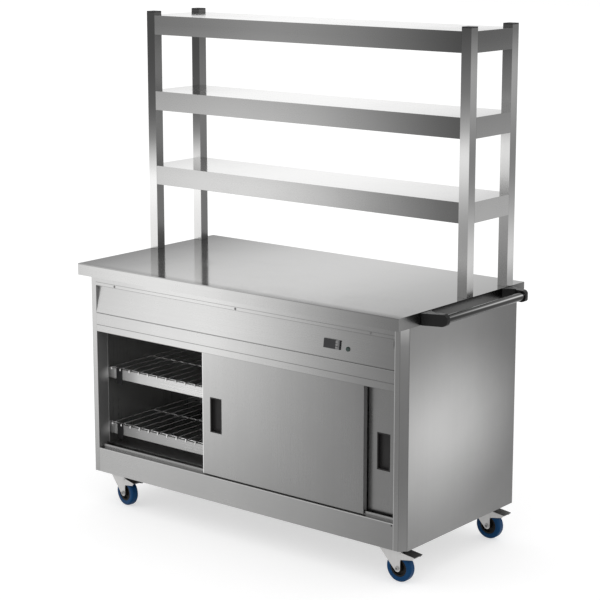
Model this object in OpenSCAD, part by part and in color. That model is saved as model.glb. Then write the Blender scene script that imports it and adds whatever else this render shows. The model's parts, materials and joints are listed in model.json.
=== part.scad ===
// Mobile hot cupboard with a three-tier gantry: a hostess trolley in folded stainless sheet.
// X runs along the front, Y from front to back, Z up. The floor is z = 0.

/* [Worktop] */
// Length of the worktop
worktop_w = 1430; // [1200:10:1800]
// Depth of the worktop from front to back
worktop_d = 735; // [700:5:850]
// Height of the working surface above the floor
worktop_h = 910; // [890:5:960]
// Depth of the worktop's turned-down edge
worktop_edge = 42; // [35:1:50]
// Thickness of the worktop sheet
worktop_sheet = 1.5; // [1:0.1:2]
// Width of the flange turned under the worktop
worktop_flange = 70; // [60:1:90]
// Width of each stiffening channel under the worktop
stiffener_w = 60; // [40:1:90]

/* [Cabinet] */
// Worktop overhang at each end
end_overhang = 2; // [1:0.5:6]
// Worktop overhang in front of the cabinet
front_overhang = 43; // [30:1:60]
// Worktop overhang behind the cabinet
back_overhang = 42; // [30:1:60]
// Thickness of the cabinet sheet
sheet = 1.5; // [1:0.1:2]
// Thickness of the insulated walls, skin to skin
wall = 20; // [15:1:30]
// Gap between the rear skins
back_wall = 25.5; // [20:0.5:35]
// Width of the chamfer on each front corner post
corner_chamfer = 22; // [12:1:30]
// Width of each front corner post's face
post_face = 22; // [15:1:35]
// Depth of each post's flange beside the doors
post_return = 54; // [53:0.5:60]
// Height of the skirt under the doors
skirt_h = 91; // [70:1:110]
// Height of the leaning part of the fascia
fascia_h = 102; // [80:1:130]
// Height of the rail over the doors
rail_h = 68; // [64:1:80]
// Height of the seam line above the door opening
seam_h = 25; // [15:1:35]
// How far the fascia leans back at its top
fascia_setback = 14; // [8:1:20]
// Height of the upright flange above the leaning fascia
fascia_flange = 40; // [34:1:50]
// Height of the screwed strip at the foot of the upright flange
fascia_strip = 12; // [10:1:16]
// Gap of the seam between fascia and rail
fascia_seam = 1; // [0.6:0.1:1.5]
// Height of the cavity's ceiling above the door opening
ceiling_rise = 33; // [32:0.5:45]
// Height of the chassis rails over the base
chassis_h = 35; // [25:1:45]
// Width of each chassis rail
chassis_w = 92; // [88:1:110]

/* [Doors] */
// Thickness of each sliding door
door_t = 20; // [16:1:20]
// Distance from the cabinet front to the outer door's face
door_setback = 7; // [6:0.5:9]
// Running gap between the two doors
door_gap = 5; // [4:0.5:6]
// How far the doors overlap when both are closed
door_overlap = 72; // [40:1:100]
// How far the outer door stands open
door_open = 507; // [0:1:600]
// Gap between a closed door and its post
door_end_gap = 1; // [0.5:0.5:2]
// Gap under the doors
door_foot_gap = 3; // [2:0.5:4]
// How far the doors reach up behind the rail
door_cover = 11; // [8:1:14]
// Sheet of the door skins
door_sheet = 1.2; // [0.8:0.1:1.5]
// Width of the recessed pulls
pull_w = 52; // [40:1:60]
// Height of the recessed pulls
pull_h = 126; // [100:1:150]
// Depth of the recess inside a pull
pull_depth = 13; // [10:0.5:13]
// Distance from a pull to its door's edge
pull_inset = 36; // [25:1:60]
// Height of the guide ribs on the lower track
rib_h = 13; // [8:1:15]
// Thickness of the guide ribs
rib_t = 4; // [3:0.5:5]
// Height of the upper track's runners above the door tops
runner_lift = 22; // [18:1:24]
// Length of each nylon glide
glide_l = 40; // [30:1:60]
// Sliding gap between glide and runner
glide_gap = 0.3; // [0.2:0.05:0.5]

/* [Gantry] */
// Side of each square gantry post
gantry_post = 38; // [30:1:45]
// Wall of the gantry posts
gantry_post_wall = 1.5; // [1.2:0.1:3]
// Distance from the worktop's front edge to the gantry
gantry_front = 380; // [300:1:400]
// Depth of the gantry shelves
gantry_d = 282; // [240:1:320]
// Height of the lowest shelf's top above the worktop
first_tier = 317; // [250:1:350]
// Distance from one shelf to the next
tier_pitch = 278; // [220:1:300]
// Number of shelves
tiers = 3; // [1:1:3]
// Height of each shelf's folded face
shelf_face = 70; // [50:1:80]
// Height of the post tops above the top shelf
post_rise = 11; // [6:1:30]
// Thickness of the plastic post caps
cap_t = 4; // [3:0.5:6]

/* [Push handle] */
// Diameter of the push handle's tube
handle_tube_d = 28; // [22:1:32]
// Distance from the worktop's end to the tube's middle
handle_offset = 65; // [58:1:80]
// Distance of the handle's middle behind the worktop's middle
handle_shift = 20; // [0:5:60]
// Distance between the outer ends of the two brackets
handle_span = 536; // [420:2:600]
// Height of the brackets
bracket_h = 40; // [36:1:44]
// Length of each bracket's foot along the worktop's end
bracket_foot = 60; // [54:1:70]
// Height of the brackets' middle below the working surface
handle_drop = 22; // [20:1:23]
// Plastic around the tube in its socket
socket_wall = 4; // [3:0.5:5]
// Depth of the tube in each socket
socket_depth = 16; // [10:1:18]
// Radial gap round the tube in its socket
socket_gap = 0.1; // [0.05:0.05:0.3]
// Distance from each bracket's outer end to its socket's mouth
bracket_mouth = 44; // [43:1:50]
// How far each bracket's outer side slants back on its way to the tube
bracket_slant = 24; // [18:1:24]

/* [Wire shelves] */
// Height of the lower shelf above the cavity floor
lower_shelf_z = 79; // [60:1:100]
// Height of the upper shelf above the lower one
shelf_pitch = 211; // [180:1:230]
// Height of the shelf rails' faces
shelf_rail_h = 38; // [30:1:45]
// Depth of the shelf rails from front to back
shelf_rail_d = 12; // [10:1:20]
// Distance from the posts' closing flange to the front rail
shelf_rail_inset = 15.5; // [10:0.5:30]
// Gap behind the rear rail
shelf_back_gap = 45; // [20:1:80]
// Diameter of the shelf's long rods
rod_d = 5; // [4:0.5:6]
// Diameter of the shelf's cross rods
cross_rod_d = 6; // [5:0.5:8]
// Distance from one rod to the next
rod_pitch = 46; // [30:1:50]
// Gap between the grids and the walls
grid_gap = 2; // [1:0.5:5]
// Width of the dark clips on the rails
clip_w = 29; // [22:1:45]
// Distance from the cavity wall to a clip
clip_inset = 50; // [20:1:60]

/* [Heater] */
// Radius of the fan's blades
fan_r = 70; // [50:1:80]
// Height of the fan's blades
fan_h = 22; // [15:1:26]
// Number of blades
fan_blades = 8; // [5:1:12]
// Radius of the fan's shaft
shaft_r = 4; // [3:0.5:6]
// Radial running clearance of every turning shaft and pin
running_gap = 0.05; // [0.02:0.01:0.08]
// Side of the square baffle
baffle_w = 300; // [260:5:360]
// Depth of the baffle under the cavity ceiling
baffle_h = 40; // [36:1:50]
// Radius of the ring element
element_r = 96; // [90:1:110]
// Radius of the element's tube
element_tube_r = 4; // [3:0.5:5]
// Radius of the fan motor
motor_r = 35; // [28:1:45]
// Height of the fan motor
motor_h = 64; // [50:1:80]
// Distance of the fan behind the cabinet's middle
fan_y = 60; // [0:5:120]

/* [Controls] */
// Distance of the controller's middle from the cabinet's middle
controller_x = 414; // [200:2:500]
// Height of the controller's middle up the fascia
controller_rise = 49; // [40:1:60]
// Width of the controller's front
controller_w = 67; // [60:1:90]
// Height of the controller's front
controller_h = 31; // [30:1:40]
// Thickness of the controller's front
controller_bezel = 5; // [4:0.5:8]
// Depth of the controller's case behind the fascia
controller_depth = 55; // [40:1:80]
// Width of each key
key_w = 10; // [8:0.5:12]
// Height of each key
key_h = 7; // [5:0.5:8]
// Distance from one key to the next
key_pitch = 9; // [8.5:0.1:10]
// How far the keys stand proud
key_proud = 1.2; // [0.8:0.1:2]
// Travel of the keys
key_travel = 0.6; // [0.4:0.1:1]
// Gap round each key
key_gap = 0.2; // [0.1:0.05:0.4]
// Distance of the indicator lamp from the controller's middle
lamp_x = 65; // [50:1:90]
// How far the lamp sits below the controller's middle
lamp_drop = 8; // [0:1:12]
// Radius of the indicator lens
lamp_r = 8; // [6:0.5:10]
// Distance of the outer fascia screws from the middle
fascia_screw_x = 575; // [400:5:600]
// Radius of the fascia screws' heads
screw_head_r = 4.5; // [3:0.5:6]
// Radius of the cable entry's bore
gland_bore_r = 6.5; // [5:0.5:8]
// Distance of the cable entry from the cabinet's end
gland_end = 153; // [93:5:313]

/* [Castors] */
// Height of the cabinet's underside above the floor
castor_h = 125; // [120:1:135]
// Radius of the wheels
wheel_r = 49; // [45:0.5:50]
// Width of the tyres
tyre_w = 30; // [25:1:32]
// Radius of the hubs
hub_r = 31; // [25:1:35]
// Distance of the axle behind the swivel
trail = 38; // [30:1:42]
// Distance of each castor from the cabinet's end
castor_end = 93; // [75:1:120]
// Distance of the front castors behind the cabinet's front
castor_front = 62; // [52:1:80]
// Distance of the rear castors from the cabinet's back
castor_back = 54; // [52:1:80]
// Length of each top plate
plate_l = 104; // [100:1:110]
// Width of each top plate
plate_w = 84; // [80:1:90]
// Bolt spacing along the plate
bolt_x = 80; // [78:1:84]
// Bolt spacing across the plate
bolt_y = 60; // [58:1:64]
// Thickness of the fork's steel
fork_t = 2.5; // [2:0.5:3]
// Radius of the axle
axle_r = 5; // [4:0.5:6]
// Radius of the swivel pin
kingpin_r = 6; // [5:0.5:8]
// Reach of each brake pedal from the swivel
pedal_reach = 108; // [100:1:120]
// Room between each pedal's sides and the fork
pedal_room = 1; // [0.5:0.25:2]
// Heading of the front left castor
front_left_heading = -10; // [-180:5:180]
// Heading of the rear left castor
rear_left_heading = 20; // [-180:5:180]

/* [Fasteners] */
// Radius of the hexagon bolts
bolt_r = 4; // [3:0.5:4]
// Length of the hexagon bolts
bolt_l = 20; // [16:1:24]
// Radial clearance of the bolt holes
bolt_gap = 0.25; // [0.1:0.05:0.5]

/* [Hidden] */
$fn = 48;

steel = "#c9cbcd";
steel_dark = "#9a9c9f";
black = "#1d1e20";

// worktop and cabinet outline
end_x = worktop_w / 2;
front_y = -worktop_d / 2;
back_y = worktop_d / 2;
under_top = worktop_h - worktop_edge;
side_x = end_x - end_overhang;
gland_x = side_x - gland_end;
cabinet_front = front_y + front_overhang;
cabinet_back = back_y - back_overhang;
handle_reach = handle_offset + handle_tube_d / 2 + socket_wall;

// levels
base_z = castor_h;
skirt_top = base_z + skirt_h;
slope_top = under_top - fascia_flange;
fascia_foot = slope_top - fascia_h;
rail_top = fascia_foot - fascia_seam;
opening_top = rail_top - rail_h;
fascia_tilt = atan(fascia_setback / (slope_top - fascia_foot));
pan_t = 2;
pan_top = base_z + pan_t;

// door opening and cavity
post_x = side_x - corner_chamfer;
opening_x = post_x - post_face;
closing_y = cabinet_front + post_return;
cavity_x = side_x - wall - sheet;
cavity_back = cabinet_back - back_wall;
cavity_top = opening_top + ceiling_rise;

// doors
door_w = opening_x - door_end_gap + door_overlap / 2;
door_z = skirt_top + door_foot_gap;
door_top = opening_top + door_cover;
outer_y = cabinet_front + door_setback;
inner_y = outer_y + door_t + door_gap;
outer_x = -opening_x + door_end_gap + door_open;
inner_x = opening_x - door_end_gap - door_w;
pull_z = (door_z + opening_top) / 2;
runner_t = 2;
runner_z = door_top + runner_lift;
track_drop = 7;
track_top = rail_top - track_drop;
track_front = cabinet_front + sheet;
track_back = closing_y + sheet;
glide_leg = 6;
glide_head = 16;
glide_head_h = 8;

// gantry
gantry_y = front_y + gantry_front;
gantry_back = gantry_y + gantry_d;
top_tier = worktop_h + first_tier + (tiers - 1) * tier_pitch;
gantry_post_top = top_tier + post_rise;

// shelves in the cavity
rail_front_y = closing_y + shelf_rail_inset;
rail_back_y = cavity_back - shelf_back_gap;
shelf_d = rail_back_y - rail_front_y;
shelf_levels = [skirt_top + lower_shelf_z, skirt_top + lower_shelf_z + shelf_pitch];

// castors
pivot_x = side_x - castor_end;
front_pivot_y = cabinet_front + castor_front;
rear_pivot_y = cabinet_back - castor_back;
castor_gap = 0.3;
plate_t = 3;
race_r = 27;
race_h = 12.7;
race_z = castor_h - race_h;
fork_top = race_z - castor_gap;
leg_room = 3.5;
leg_y = tyre_w / 2 + leg_room;
fork_half = 33;
fork_tail = 58;
pedal_pivot = [50, fork_top - 9];
pedal_pin_r = 3;
pedal_side = 1.5;
pedal_w = 2 * (leg_y + fork_t + pedal_room + pedal_side);

// depth of a cut made right through a sheet, and how far a cut runs past a face
through = 10;
past = 1;

// a box given by its low and high values on each axis
module slab(x, y, z) {
    translate([x[0], y[0], z[0]])
        cube([x[1] - x[0], y[1] - y[0], z[1] - z[0]]);
}

// everything is drawn about the worktop's middle, then set about the middle of the whole box
module about_middle() {
    translate([-handle_reach / 2, 0, 0])
        children();
}

// outline of a sheet folded along a path, its thickness to the left of the path
function unit(v) = v / norm(v);
function left(v) = [-v[1], v[0]];
function before(path, i) = left(unit(i > 0 ? path[i] - path[i - 1] : path[1] - path[0]));
function after(path, i) = i < len(path) - 1 ? left(unit(path[i + 1] - path[i])) : before(path, i);
function corner(path, i, t) =
    path[i] + t * (before(path, i) + after(path, i)) / (1 + before(path, i) * after(path, i));
module folded(path, t) {
    polygon(concat(path, [for (i = [len(path) - 1:-1:0]) corner(path, i, t)]));
}

// a profile drawn as [y, z], carried along X
module along_x(x) {
    translate([x[0], 0, 0])
        rotate([90, 0, 90])
            linear_extrude(x[1] - x[0])
                children();
}

// a profile drawn as [x, z], carried along Y
module along_y(y) {
    translate([0, y[1], 0])
        rotate([90, 0, 0])
            linear_extrude(y[1] - y[0])
                children();
}

module both_ends() {
    children();
    mirror([1, 0, 0])
        children();
}

// ---- worktop and cabinet sheet

module gantry_bolt_places() {
    for (side = [-1, 1], y = [gantry_y + gantry_post / 2, gantry_back - gantry_post / 2])
        translate([side * (end_x - gantry_post / 2), y, worktop_h - worktop_sheet])
            children();
}

bracket_bolts = [13, 35];
module handle_bolt_places() {
    for (end = [-1, 1], inset = bracket_bolts)
        translate([end_x - worktop_sheet, handle_shift + end * (handle_span / 2 - inset), tube_z])
            rotate([0, 90, 0])
                children();
}

module worktop() color(steel) about_middle() {
    difference() {
        slab([-end_x, end_x], [front_y, back_y], [under_top, worktop_h]);
        slab([-end_x + worktop_sheet, end_x - worktop_sheet],
            [front_y + worktop_sheet, back_y - worktop_sheet],
            [under_top + worktop_sheet, worktop_h - worktop_sheet]);
        slab([-end_x + worktop_flange, end_x - worktop_flange],
            [front_y + worktop_flange, back_y - worktop_flange],
            [under_top - past, under_top + worktop_sheet + past]);
        gantry_bolt_places()
            cylinder(r = bolt_r + bolt_gap, h = through, center = true);
        handle_bolt_places()
            cylinder(r = bolt_r + bolt_gap, h = through, center = true);
    }
}

// top-hat channels between the worktop sheet and its turned-under flange
stiffener_brim = 15;
module worktop_stiffeners() color(steel_dark) about_middle() {
    low = under_top + worktop_sheet + sheet;
    high = worktop_h - worktop_sheet;
    for (x = [-end_x / 2, 0, end_x / 2])
        translate([x, 0, 0])
            along_y([front_y + worktop_sheet, back_y - worktop_sheet])
                folded([[-stiffener_w / 2 - stiffener_brim, high], [-stiffener_w / 2, high],
                    [-stiffener_w / 2, low], [stiffener_w / 2, low],
                    [stiffener_w / 2, high], [stiffener_w / 2 + stiffener_brim, high]], -sheet);
}

module side_panels() color(steel) about_middle()
    both_ends()
        slab([side_x - sheet, side_x], [cabinet_front + corner_chamfer, cabinet_back], [base_z, under_top]);

gland_z = (rail_top + under_top) / 2;
module back_panel() color(steel) about_middle() {
    difference() {
        slab([-side_x + sheet, side_x - sheet], [cabinet_back - sheet, cabinet_back], [base_z, under_top]);
        translate([gland_x, cabinet_back, gland_z])
            rotate([90, 0, 0])
                cylinder(r = gland_thread_r + bolt_gap, h = through, center = true);
    }
}

// corner post: lap flange, chamfer, face, flange beside the doors and closing flange
lap = 15;
module front_posts() color(steel) about_middle()
    both_ends()
        translate([0, 0, base_z])
            linear_extrude(under_top - base_z)
                folded([[side_x - sheet, cabinet_front + corner_chamfer + lap],
                    [side_x - sheet, cabinet_front + corner_chamfer],
                    [post_x, cabinet_front], [opening_x, cabinet_front],
                    [opening_x, closing_y], [cavity_x + sheet, closing_y]], -sheet);

// places on the leaning fascia: x along it, y inwards, z up the slope
module on_fascia(x, up) {
    translate([x, cabinet_front, fascia_foot])
        rotate([-fascia_tilt, 0, 0])
            translate([0, 0, up])
                children();
}

seam_w = 0.8;
seam_cut = 0.6;
screw_r = 2;
screw_l = 10;
screw_head_h = 2;
lamp_body_r = 6;
fascia_fold = 12;
cutout_gap = 0.5;
case_inset = 2.5;
case_w = controller_w - 2 * case_inset;
case_h = controller_h - 2 * case_inset;
module fascia_screw_places() {
    for (x = [-fascia_screw_x, 0, fascia_screw_x])
        translate([x, cabinet_front, slope_top + fascia_strip / 2])
            rotate([90, 0, 0])
                children();
}

module control_fascia() color(steel) about_middle() {
    difference() {
        along_x([-opening_x, opening_x])
            folded([[cabinet_front + fascia_fold, fascia_foot], [cabinet_front, fascia_foot],
                [cabinet_front + fascia_setback, slope_top], [cabinet_front, slope_top],
                [cabinet_front, under_top], [cabinet_front + fascia_fold * 2, under_top]], -sheet);
        on_fascia(controller_x, controller_rise)
            cube([case_w + 2 * cutout_gap, through, case_h + 2 * cutout_gap], center = true);
        on_fascia(controller_x + lamp_x, controller_rise - lamp_drop)
            rotate([90, 0, 0])
                cylinder(r = lamp_body_r + bolt_gap, h = through, center = true);
        fascia_screw_places()
            cylinder(r = screw_r + bolt_gap, h = through, center = true);
        slab([-opening_x - past, opening_x + past], [cabinet_front - past, cabinet_front + seam_cut],
            [slope_top + fascia_strip, slope_top + fascia_strip + seam_w]);
    }
}

rail_lip = 4;
module upper_rail() color(steel) about_middle() {
    difference() {
        along_x([-opening_x, opening_x])
            folded([[cabinet_front + rail_lip, opening_top], [cabinet_front, opening_top],
                [cabinet_front, rail_top], [cabinet_front + fascia_fold, rail_top]], -sheet);
        slab([-opening_x - past, opening_x + past], [cabinet_front - past, cabinet_front + seam_cut],
            [opening_top + seam_h, opening_top + seam_h + seam_w]);
    }
}

track_hole_r = 2.5;
track_hole_side = 6;
track_hole_drop = 8;
module front_skirt() color(steel) about_middle() {
    difference() {
        along_x([-opening_x, opening_x])
            folded([[cabinet_front + fascia_fold, base_z], [cabinet_front, base_z],
                [cabinet_front, skirt_top - sheet]], -sheet);
        translate([opening_x - track_hole_side, cabinet_front, skirt_top - track_hole_drop])
            rotate([90, 0, 0])
                cylinder(r = track_hole_r, h = through, center = true);
    }
}

module castor_places() {
    translate([pivot_x, front_pivot_y, 0])
        children();
    translate([-pivot_x, front_pivot_y, 0])
        children();
    translate([pivot_x, rear_pivot_y, 0])
        children();
    translate([-pivot_x, rear_pivot_y, 0])
        children();
}

module castor_bolt_places() {
    castor_places()
        for (x = [-bolt_x / 2, bolt_x / 2], y = [-bolt_y / 2, bolt_y / 2])
            translate([x, y, castor_h - plate_t])
                children();
}

module base_pan() color(steel_dark) about_middle() {
    difference() {
        slab([-side_x + sheet, side_x - sheet], [cabinet_front + fascia_fold, cabinet_back - sheet],
            [base_z, pan_top]);
        both_ends()
            slab([opening_x, side_x], [cabinet_front, closing_y], [base_z - past, pan_top + past]);
        castor_bolt_places()
            cylinder(r = bolt_r + bolt_gap, h = through);
    }
}

module chassis_rails() color(steel_dark) about_middle()
    for (y = [front_pivot_y, rear_pivot_y])
        difference() {
            slab([-opening_x, opening_x], [y - chassis_w / 2, y + chassis_w / 2],
                [pan_top, pan_top + chassis_h]);
            slab([-side_x, side_x], [y - chassis_w / 2 + pan_t, y + chassis_w / 2 - pan_t],
                [pan_top - past, pan_top + chassis_h - pan_t]);
        }

// ---- heated cavity

module liner_floor() color(steel_dark) about_middle()
    slab([-cavity_x - sheet, cavity_x + sheet], [closing_y, cavity_back + sheet],
        [skirt_top - sheet, skirt_top]);

module liner_sides() color(steel_dark) about_middle()
    both_ends()
        slab([cavity_x, cavity_x + sheet], [closing_y, cavity_back], [skirt_top, cavity_top]);

// back and ceiling, folded from one sheet
shaft_hole_gap = 2;
leg_hole_gap = 0.2;
module liner_back() color(steel_dark) about_middle() {
    slab([-cavity_x - sheet, cavity_x + sheet], [cavity_back, cavity_back + sheet],
        [skirt_top, cavity_top]);
    difference() {
        slab([-cavity_x - sheet, cavity_x + sheet], [track_back + sheet, cavity_back + sheet],
            [cavity_top, cavity_top + sheet]);
        translate([0, fan_y, cavity_top])
            cylinder(r = shaft_r + shaft_hole_gap, h = through, center = true);
        element_leg_places()
            translate([0, 0, cavity_top])
                cylinder(r = element_tube_r + leg_hole_gap, h = through, center = true);
    }
}

// mineral wool between the skins
module insulation() color("#c9b56a") about_middle() {
    both_ends()
        slab([cavity_x + sheet, side_x - sheet], [closing_y, cavity_back + sheet],
            [skirt_top - sheet, cavity_top + sheet]);
    slab([-side_x + sheet, side_x - sheet], [cavity_back + sheet, cabinet_back - sheet],
        [skirt_top - sheet, cavity_top + sheet]);
}

// runners carry the glides of both doors
module upper_door_track() color(steel_dark) about_middle()
    along_x([-opening_x, opening_x])
        union() {
            track_square([track_front, track_front + sheet], [opening_top + sheet, track_top]);
            track_square([track_front, track_back + sheet], [track_top - sheet, track_top]);
            track_square([track_back, track_back + sheet], [opening_top, track_top]);
            track_square([track_front, outer_mid], [runner_z, runner_z + runner_t]);
            track_square([inner_mid, track_back], [runner_z, runner_z + runner_t]);
        }

module track_square(y, z) {
    translate([y[0], z[0]])
        square([y[1] - y[0], z[1] - z[0]]);
}

outer_mid = outer_y + door_t / 2;
inner_mid = inner_y + door_t / 2;

module lower_door_track() color(steel) about_middle()
    along_x([-opening_x, opening_x])
        union() {
            track_square([cabinet_front, closing_y], [skirt_top - sheet, skirt_top]);
            for (mid = [outer_mid, inner_mid])
                track_square([mid - rib_t / 2, mid + rib_t / 2], [skirt_top - sheet, skirt_top + rib_h]);
        }

module shelf_rails() color(steel) about_middle()
    for (z = shelf_levels) {
        along_x([-cavity_x, cavity_x])
            folded([[rail_front_y, z - shelf_rail_h], [rail_front_y, z],
                [rail_front_y + shelf_rail_d, z], [rail_front_y + shelf_rail_d, z - shelf_rail_d]], -sheet);
        along_x([-cavity_x, cavity_x])
            folded([[rail_back_y, z - shelf_rail_h], [rail_back_y, z],
                [rail_back_y - shelf_rail_d, z], [rail_back_y - shelf_rail_d, z - shelf_rail_d]], sheet);
    }

clip_t = 2;
clip_drop = 18;
clip_rise = 4;
module shelf_clips() color(black) about_middle()
    for (z = shelf_levels)
        both_ends() {
            slab([cavity_x - clip_inset - clip_w, cavity_x - clip_inset],
                [rail_front_y - clip_t, rail_front_y], [z - shelf_rail_h - clip_drop, z + clip_rise]);
            slab([cavity_x - clip_inset - clip_w, cavity_x - clip_inset],
                [rail_back_y, rail_back_y + clip_t], [z - shelf_rail_h - clip_drop, z + clip_rise]);
        }

// one grid per door: long rods on the rails, cross rods welded under them
grid_w = cavity_x - 1.5 * grid_gap;
rods = floor((grid_w - rod_d) / rod_pitch);
weld = 0.5;
module grid() {
    for (i = [0:rods])
        translate([(i - rods / 2) * rod_pitch, rail_back_y, 0])
            rotate([90, 0, 0])
                cylinder(d = rod_d, h = shelf_d);
    for (y = [rail_front_y + shelf_rail_d + cross_rod_d, cross_rod_y,
            rail_back_y - shelf_rail_d - cross_rod_d])
        translate([-grid_w / 2, y, weld - (rod_d + cross_rod_d) / 2])
            rotate([0, 90, 0])
                cylinder(d = cross_rod_d, h = grid_w);
}

cross_rod_shift = 25;
cross_rod_y = (rail_front_y + rail_back_y) / 2 - cross_rod_shift;
module shelf_grids() color(steel) about_middle()
    for (z = shelf_levels, side = [-1, 1])
        translate([side * (grid_w + grid_gap) / 2, 0, z + rod_d / 2])
            grid();

// ---- fan and heater

leg_spread = 20;
leg_angle = asin(leg_spread / element_r);
module element_leg_places() {
    for (side = [-1, 1])
        translate([side * leg_spread, fan_y + element_r * cos(leg_angle), 0])
            children();
}

baffle_sheet = 1.2;
baffle_z = cavity_top - baffle_h;
intake_lip = 12;
intake_r = fan_r - intake_lip;
spoke = 8;
air_slots = 6;
air_slot_pitch = baffle_w * 0.12;
air_slot_w = baffle_w * 0.08;
air_slot_edge = 10;
module fan_baffle() color(steel_dark) about_middle()
    translate([0, fan_y, 0])
        difference() {
            slab([-baffle_w / 2, baffle_w / 2], [-baffle_w / 2, baffle_w / 2], [baffle_z, cavity_top]);
            slab([-baffle_w / 2 + baffle_sheet, baffle_w / 2 - baffle_sheet],
                [-baffle_w / 2 + baffle_sheet, baffle_w / 2 - baffle_sheet],
                [baffle_z + baffle_sheet, cavity_top + past]);
            for (a = [0:90:270])
                rotate([0, 0, a])
                    intersection() {
                        translate([0, 0, baffle_z])
                            cylinder(r = intake_r, h = through, center = true);
                        slab([spoke / 2, fan_r], [spoke / 2, fan_r], [baffle_z - past, cavity_top]);
                    }
            for (a = [0:90:270], i = [0:air_slots - 1])
                rotate([0, 0, a])
                    translate([(i - (air_slots - 1) / 2) * air_slot_pitch, baffle_w / 2, 0])
                        slab([-air_slot_w / 2, air_slot_w / 2], [-through / 2, through / 2],
                            [baffle_z + air_slot_edge, cavity_top - air_slot_edge]);
        }

impeller_rise = 8;
impeller_z = baffle_z + impeller_rise;
boss_r = shaft_r + 6;
disc_t = 2;
blade_t = 2;
shaft_in_motor = 30;
shaft_top = cavity_top + sheet + shaft_in_motor;
module fan_impeller() color(steel_dark) about_middle()
    translate([0, fan_y, 0]) {
        translate([0, 0, impeller_z])
            cylinder(r = shaft_r, h = shaft_top - impeller_z);
        translate([0, 0, impeller_z])
            cylinder(r = boss_r, h = fan_h);
        translate([0, 0, impeller_z + fan_h])
            cylinder(r = fan_r, h = disc_t);
        for (i = [0:fan_blades - 1])
            rotate([0, 0, i * 360 / fan_blades])
                slab([boss_r - blade_t, fan_r - blade_t], [-blade_t / 2, blade_t / 2],
                    [impeller_z, impeller_z + fan_h + disc_t / 2]);
    }

motor_lug = 10;
motor_lug_w = 24;
motor_lug_t = 3;
module fan_motor() color(steel_dark) about_middle()
    translate([0, fan_y, cavity_top + sheet])
        difference() {
            union() {
                cylinder(r = motor_r, h = motor_h);
                slab([-motor_r - motor_lug, motor_r + motor_lug], [-motor_lug_w / 2, motor_lug_w / 2],
                    [0, motor_lug_t]);
            }
            translate([0, 0, -past])
                cylinder(r = shaft_r + running_gap, h = shaft_in_motor + 3 * past);
        }

// a ring that is open between its two legs
element_z = baffle_z + baffle_h / 2;
leg_above = 25;
module heater_element() color("#6b6258") about_middle() {
    translate([0, fan_y, element_z])
        rotate([0, 0, 90 + leg_angle])
            rotate_extrude(angle = 360 - 2 * leg_angle)
                translate([element_r, 0])
                    circle(r = element_tube_r);
    element_leg_places()
        translate([0, 0, element_z - element_tube_r])
            cylinder(r = element_tube_r, h = cavity_top + sheet + leg_above - element_z);
}

// ---- controls

keys_inset = 12;
keys_x = controller_w / 2 - keys_inset;
key_stem = 3;
key_seat_gap = 0.4;
key_seat = controller_bezel - key_stem - key_travel - key_seat_gap;
module controller() color(black) about_middle()
    on_fascia(controller_x, controller_rise) {
        difference() {
            slab([-controller_w / 2, controller_w / 2], [-controller_bezel, 0],
                [-controller_h / 2, controller_h / 2]);
            for (i = [-1, 0, 1])
                slab([keys_x - key_w / 2 - key_gap, keys_x + key_w / 2 + key_gap],
                    [-controller_bezel - past, -key_seat],
                    [i * key_pitch - key_h / 2 - key_gap, i * key_pitch + key_h / 2 + key_gap]);
        }
        slab([-case_w / 2, case_w / 2], [0, controller_depth], [-case_h / 2, case_h / 2]);
    }

module key(place) {
    on_fascia(controller_x, controller_rise)
        slab([keys_x - key_w / 2, keys_x + key_w / 2],
            [-controller_bezel - key_proud, key_stem - controller_bezel],
            [place * key_pitch - key_h / 2, place * key_pitch + key_h / 2]);
}

module key_up() color("silver") about_middle() key(1);
module key_set() color("silver") about_middle() key(0);
module key_down() color("silver") about_middle() key(-1);

lens_step = 2;
lamp_body_l = 25;
module indicator_lamp() color("#1d7a4a") about_middle()
    on_fascia(controller_x + lamp_x, controller_rise - lamp_drop)
        rotate([90, 0, 0]) {
            cylinder(r = lamp_r, h = lens_step);
            translate([0, 0, lens_step])
                cylinder(r1 = lamp_r - lens_step / 2, r2 = lamp_r - 1.5 * lens_step, h = lens_step);
            translate([0, 0, -lamp_body_l])
                cylinder(r = lamp_body_r, h = lamp_body_l);
        }

gland_wall = 3;
gland_grip = 5;
gland_thread_r = gland_bore_r + gland_wall;
gland_flange_r = gland_thread_r + gland_grip;
gland_inside = 15;
gland_outside = 24;
gland_hex = 10;
gland_nut = 5;
module cable_gland() color(black) about_middle()
    translate([gland_x, cabinet_back, gland_z])
        rotate([90, 0, 0])
            difference() {
                union() {
                    translate([0, 0, -gland_outside])
                        cylinder(r = gland_thread_r, h = gland_outside + gland_inside);
                    translate([0, 0, -gland_hex])
                        cylinder(r = gland_flange_r, h = gland_hex, $fn = 6);
                    translate([0, 0, sheet])
                        cylinder(r = gland_flange_r, h = gland_nut, $fn = 6);
                }
                translate([0, 0, -gland_outside - past])
                    cylinder(r = gland_bore_r, h = gland_outside + gland_inside + 2 * past);
            }

// ---- gantry

foot_plate = 3;
module gantry_post() {
    difference() {
        slab([0, gantry_post], [0, gantry_post], [worktop_h, gantry_post_top]);
        slab([gantry_post_wall, gantry_post - gantry_post_wall],
            [gantry_post_wall, gantry_post - gantry_post_wall],
            [worktop_h + foot_plate, gantry_post_top + past]);
        translate([gantry_post / 2, gantry_post / 2, worktop_h])
            cylinder(r = bolt_r + bolt_gap, h = through, center = true);
    }
}

module gantry_posts() color(steel) about_middle()
    for (x = [-end_x, end_x - gantry_post], y = [gantry_y, gantry_back - gantry_post])
        translate([x, y, 0])
            gantry_post();

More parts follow.
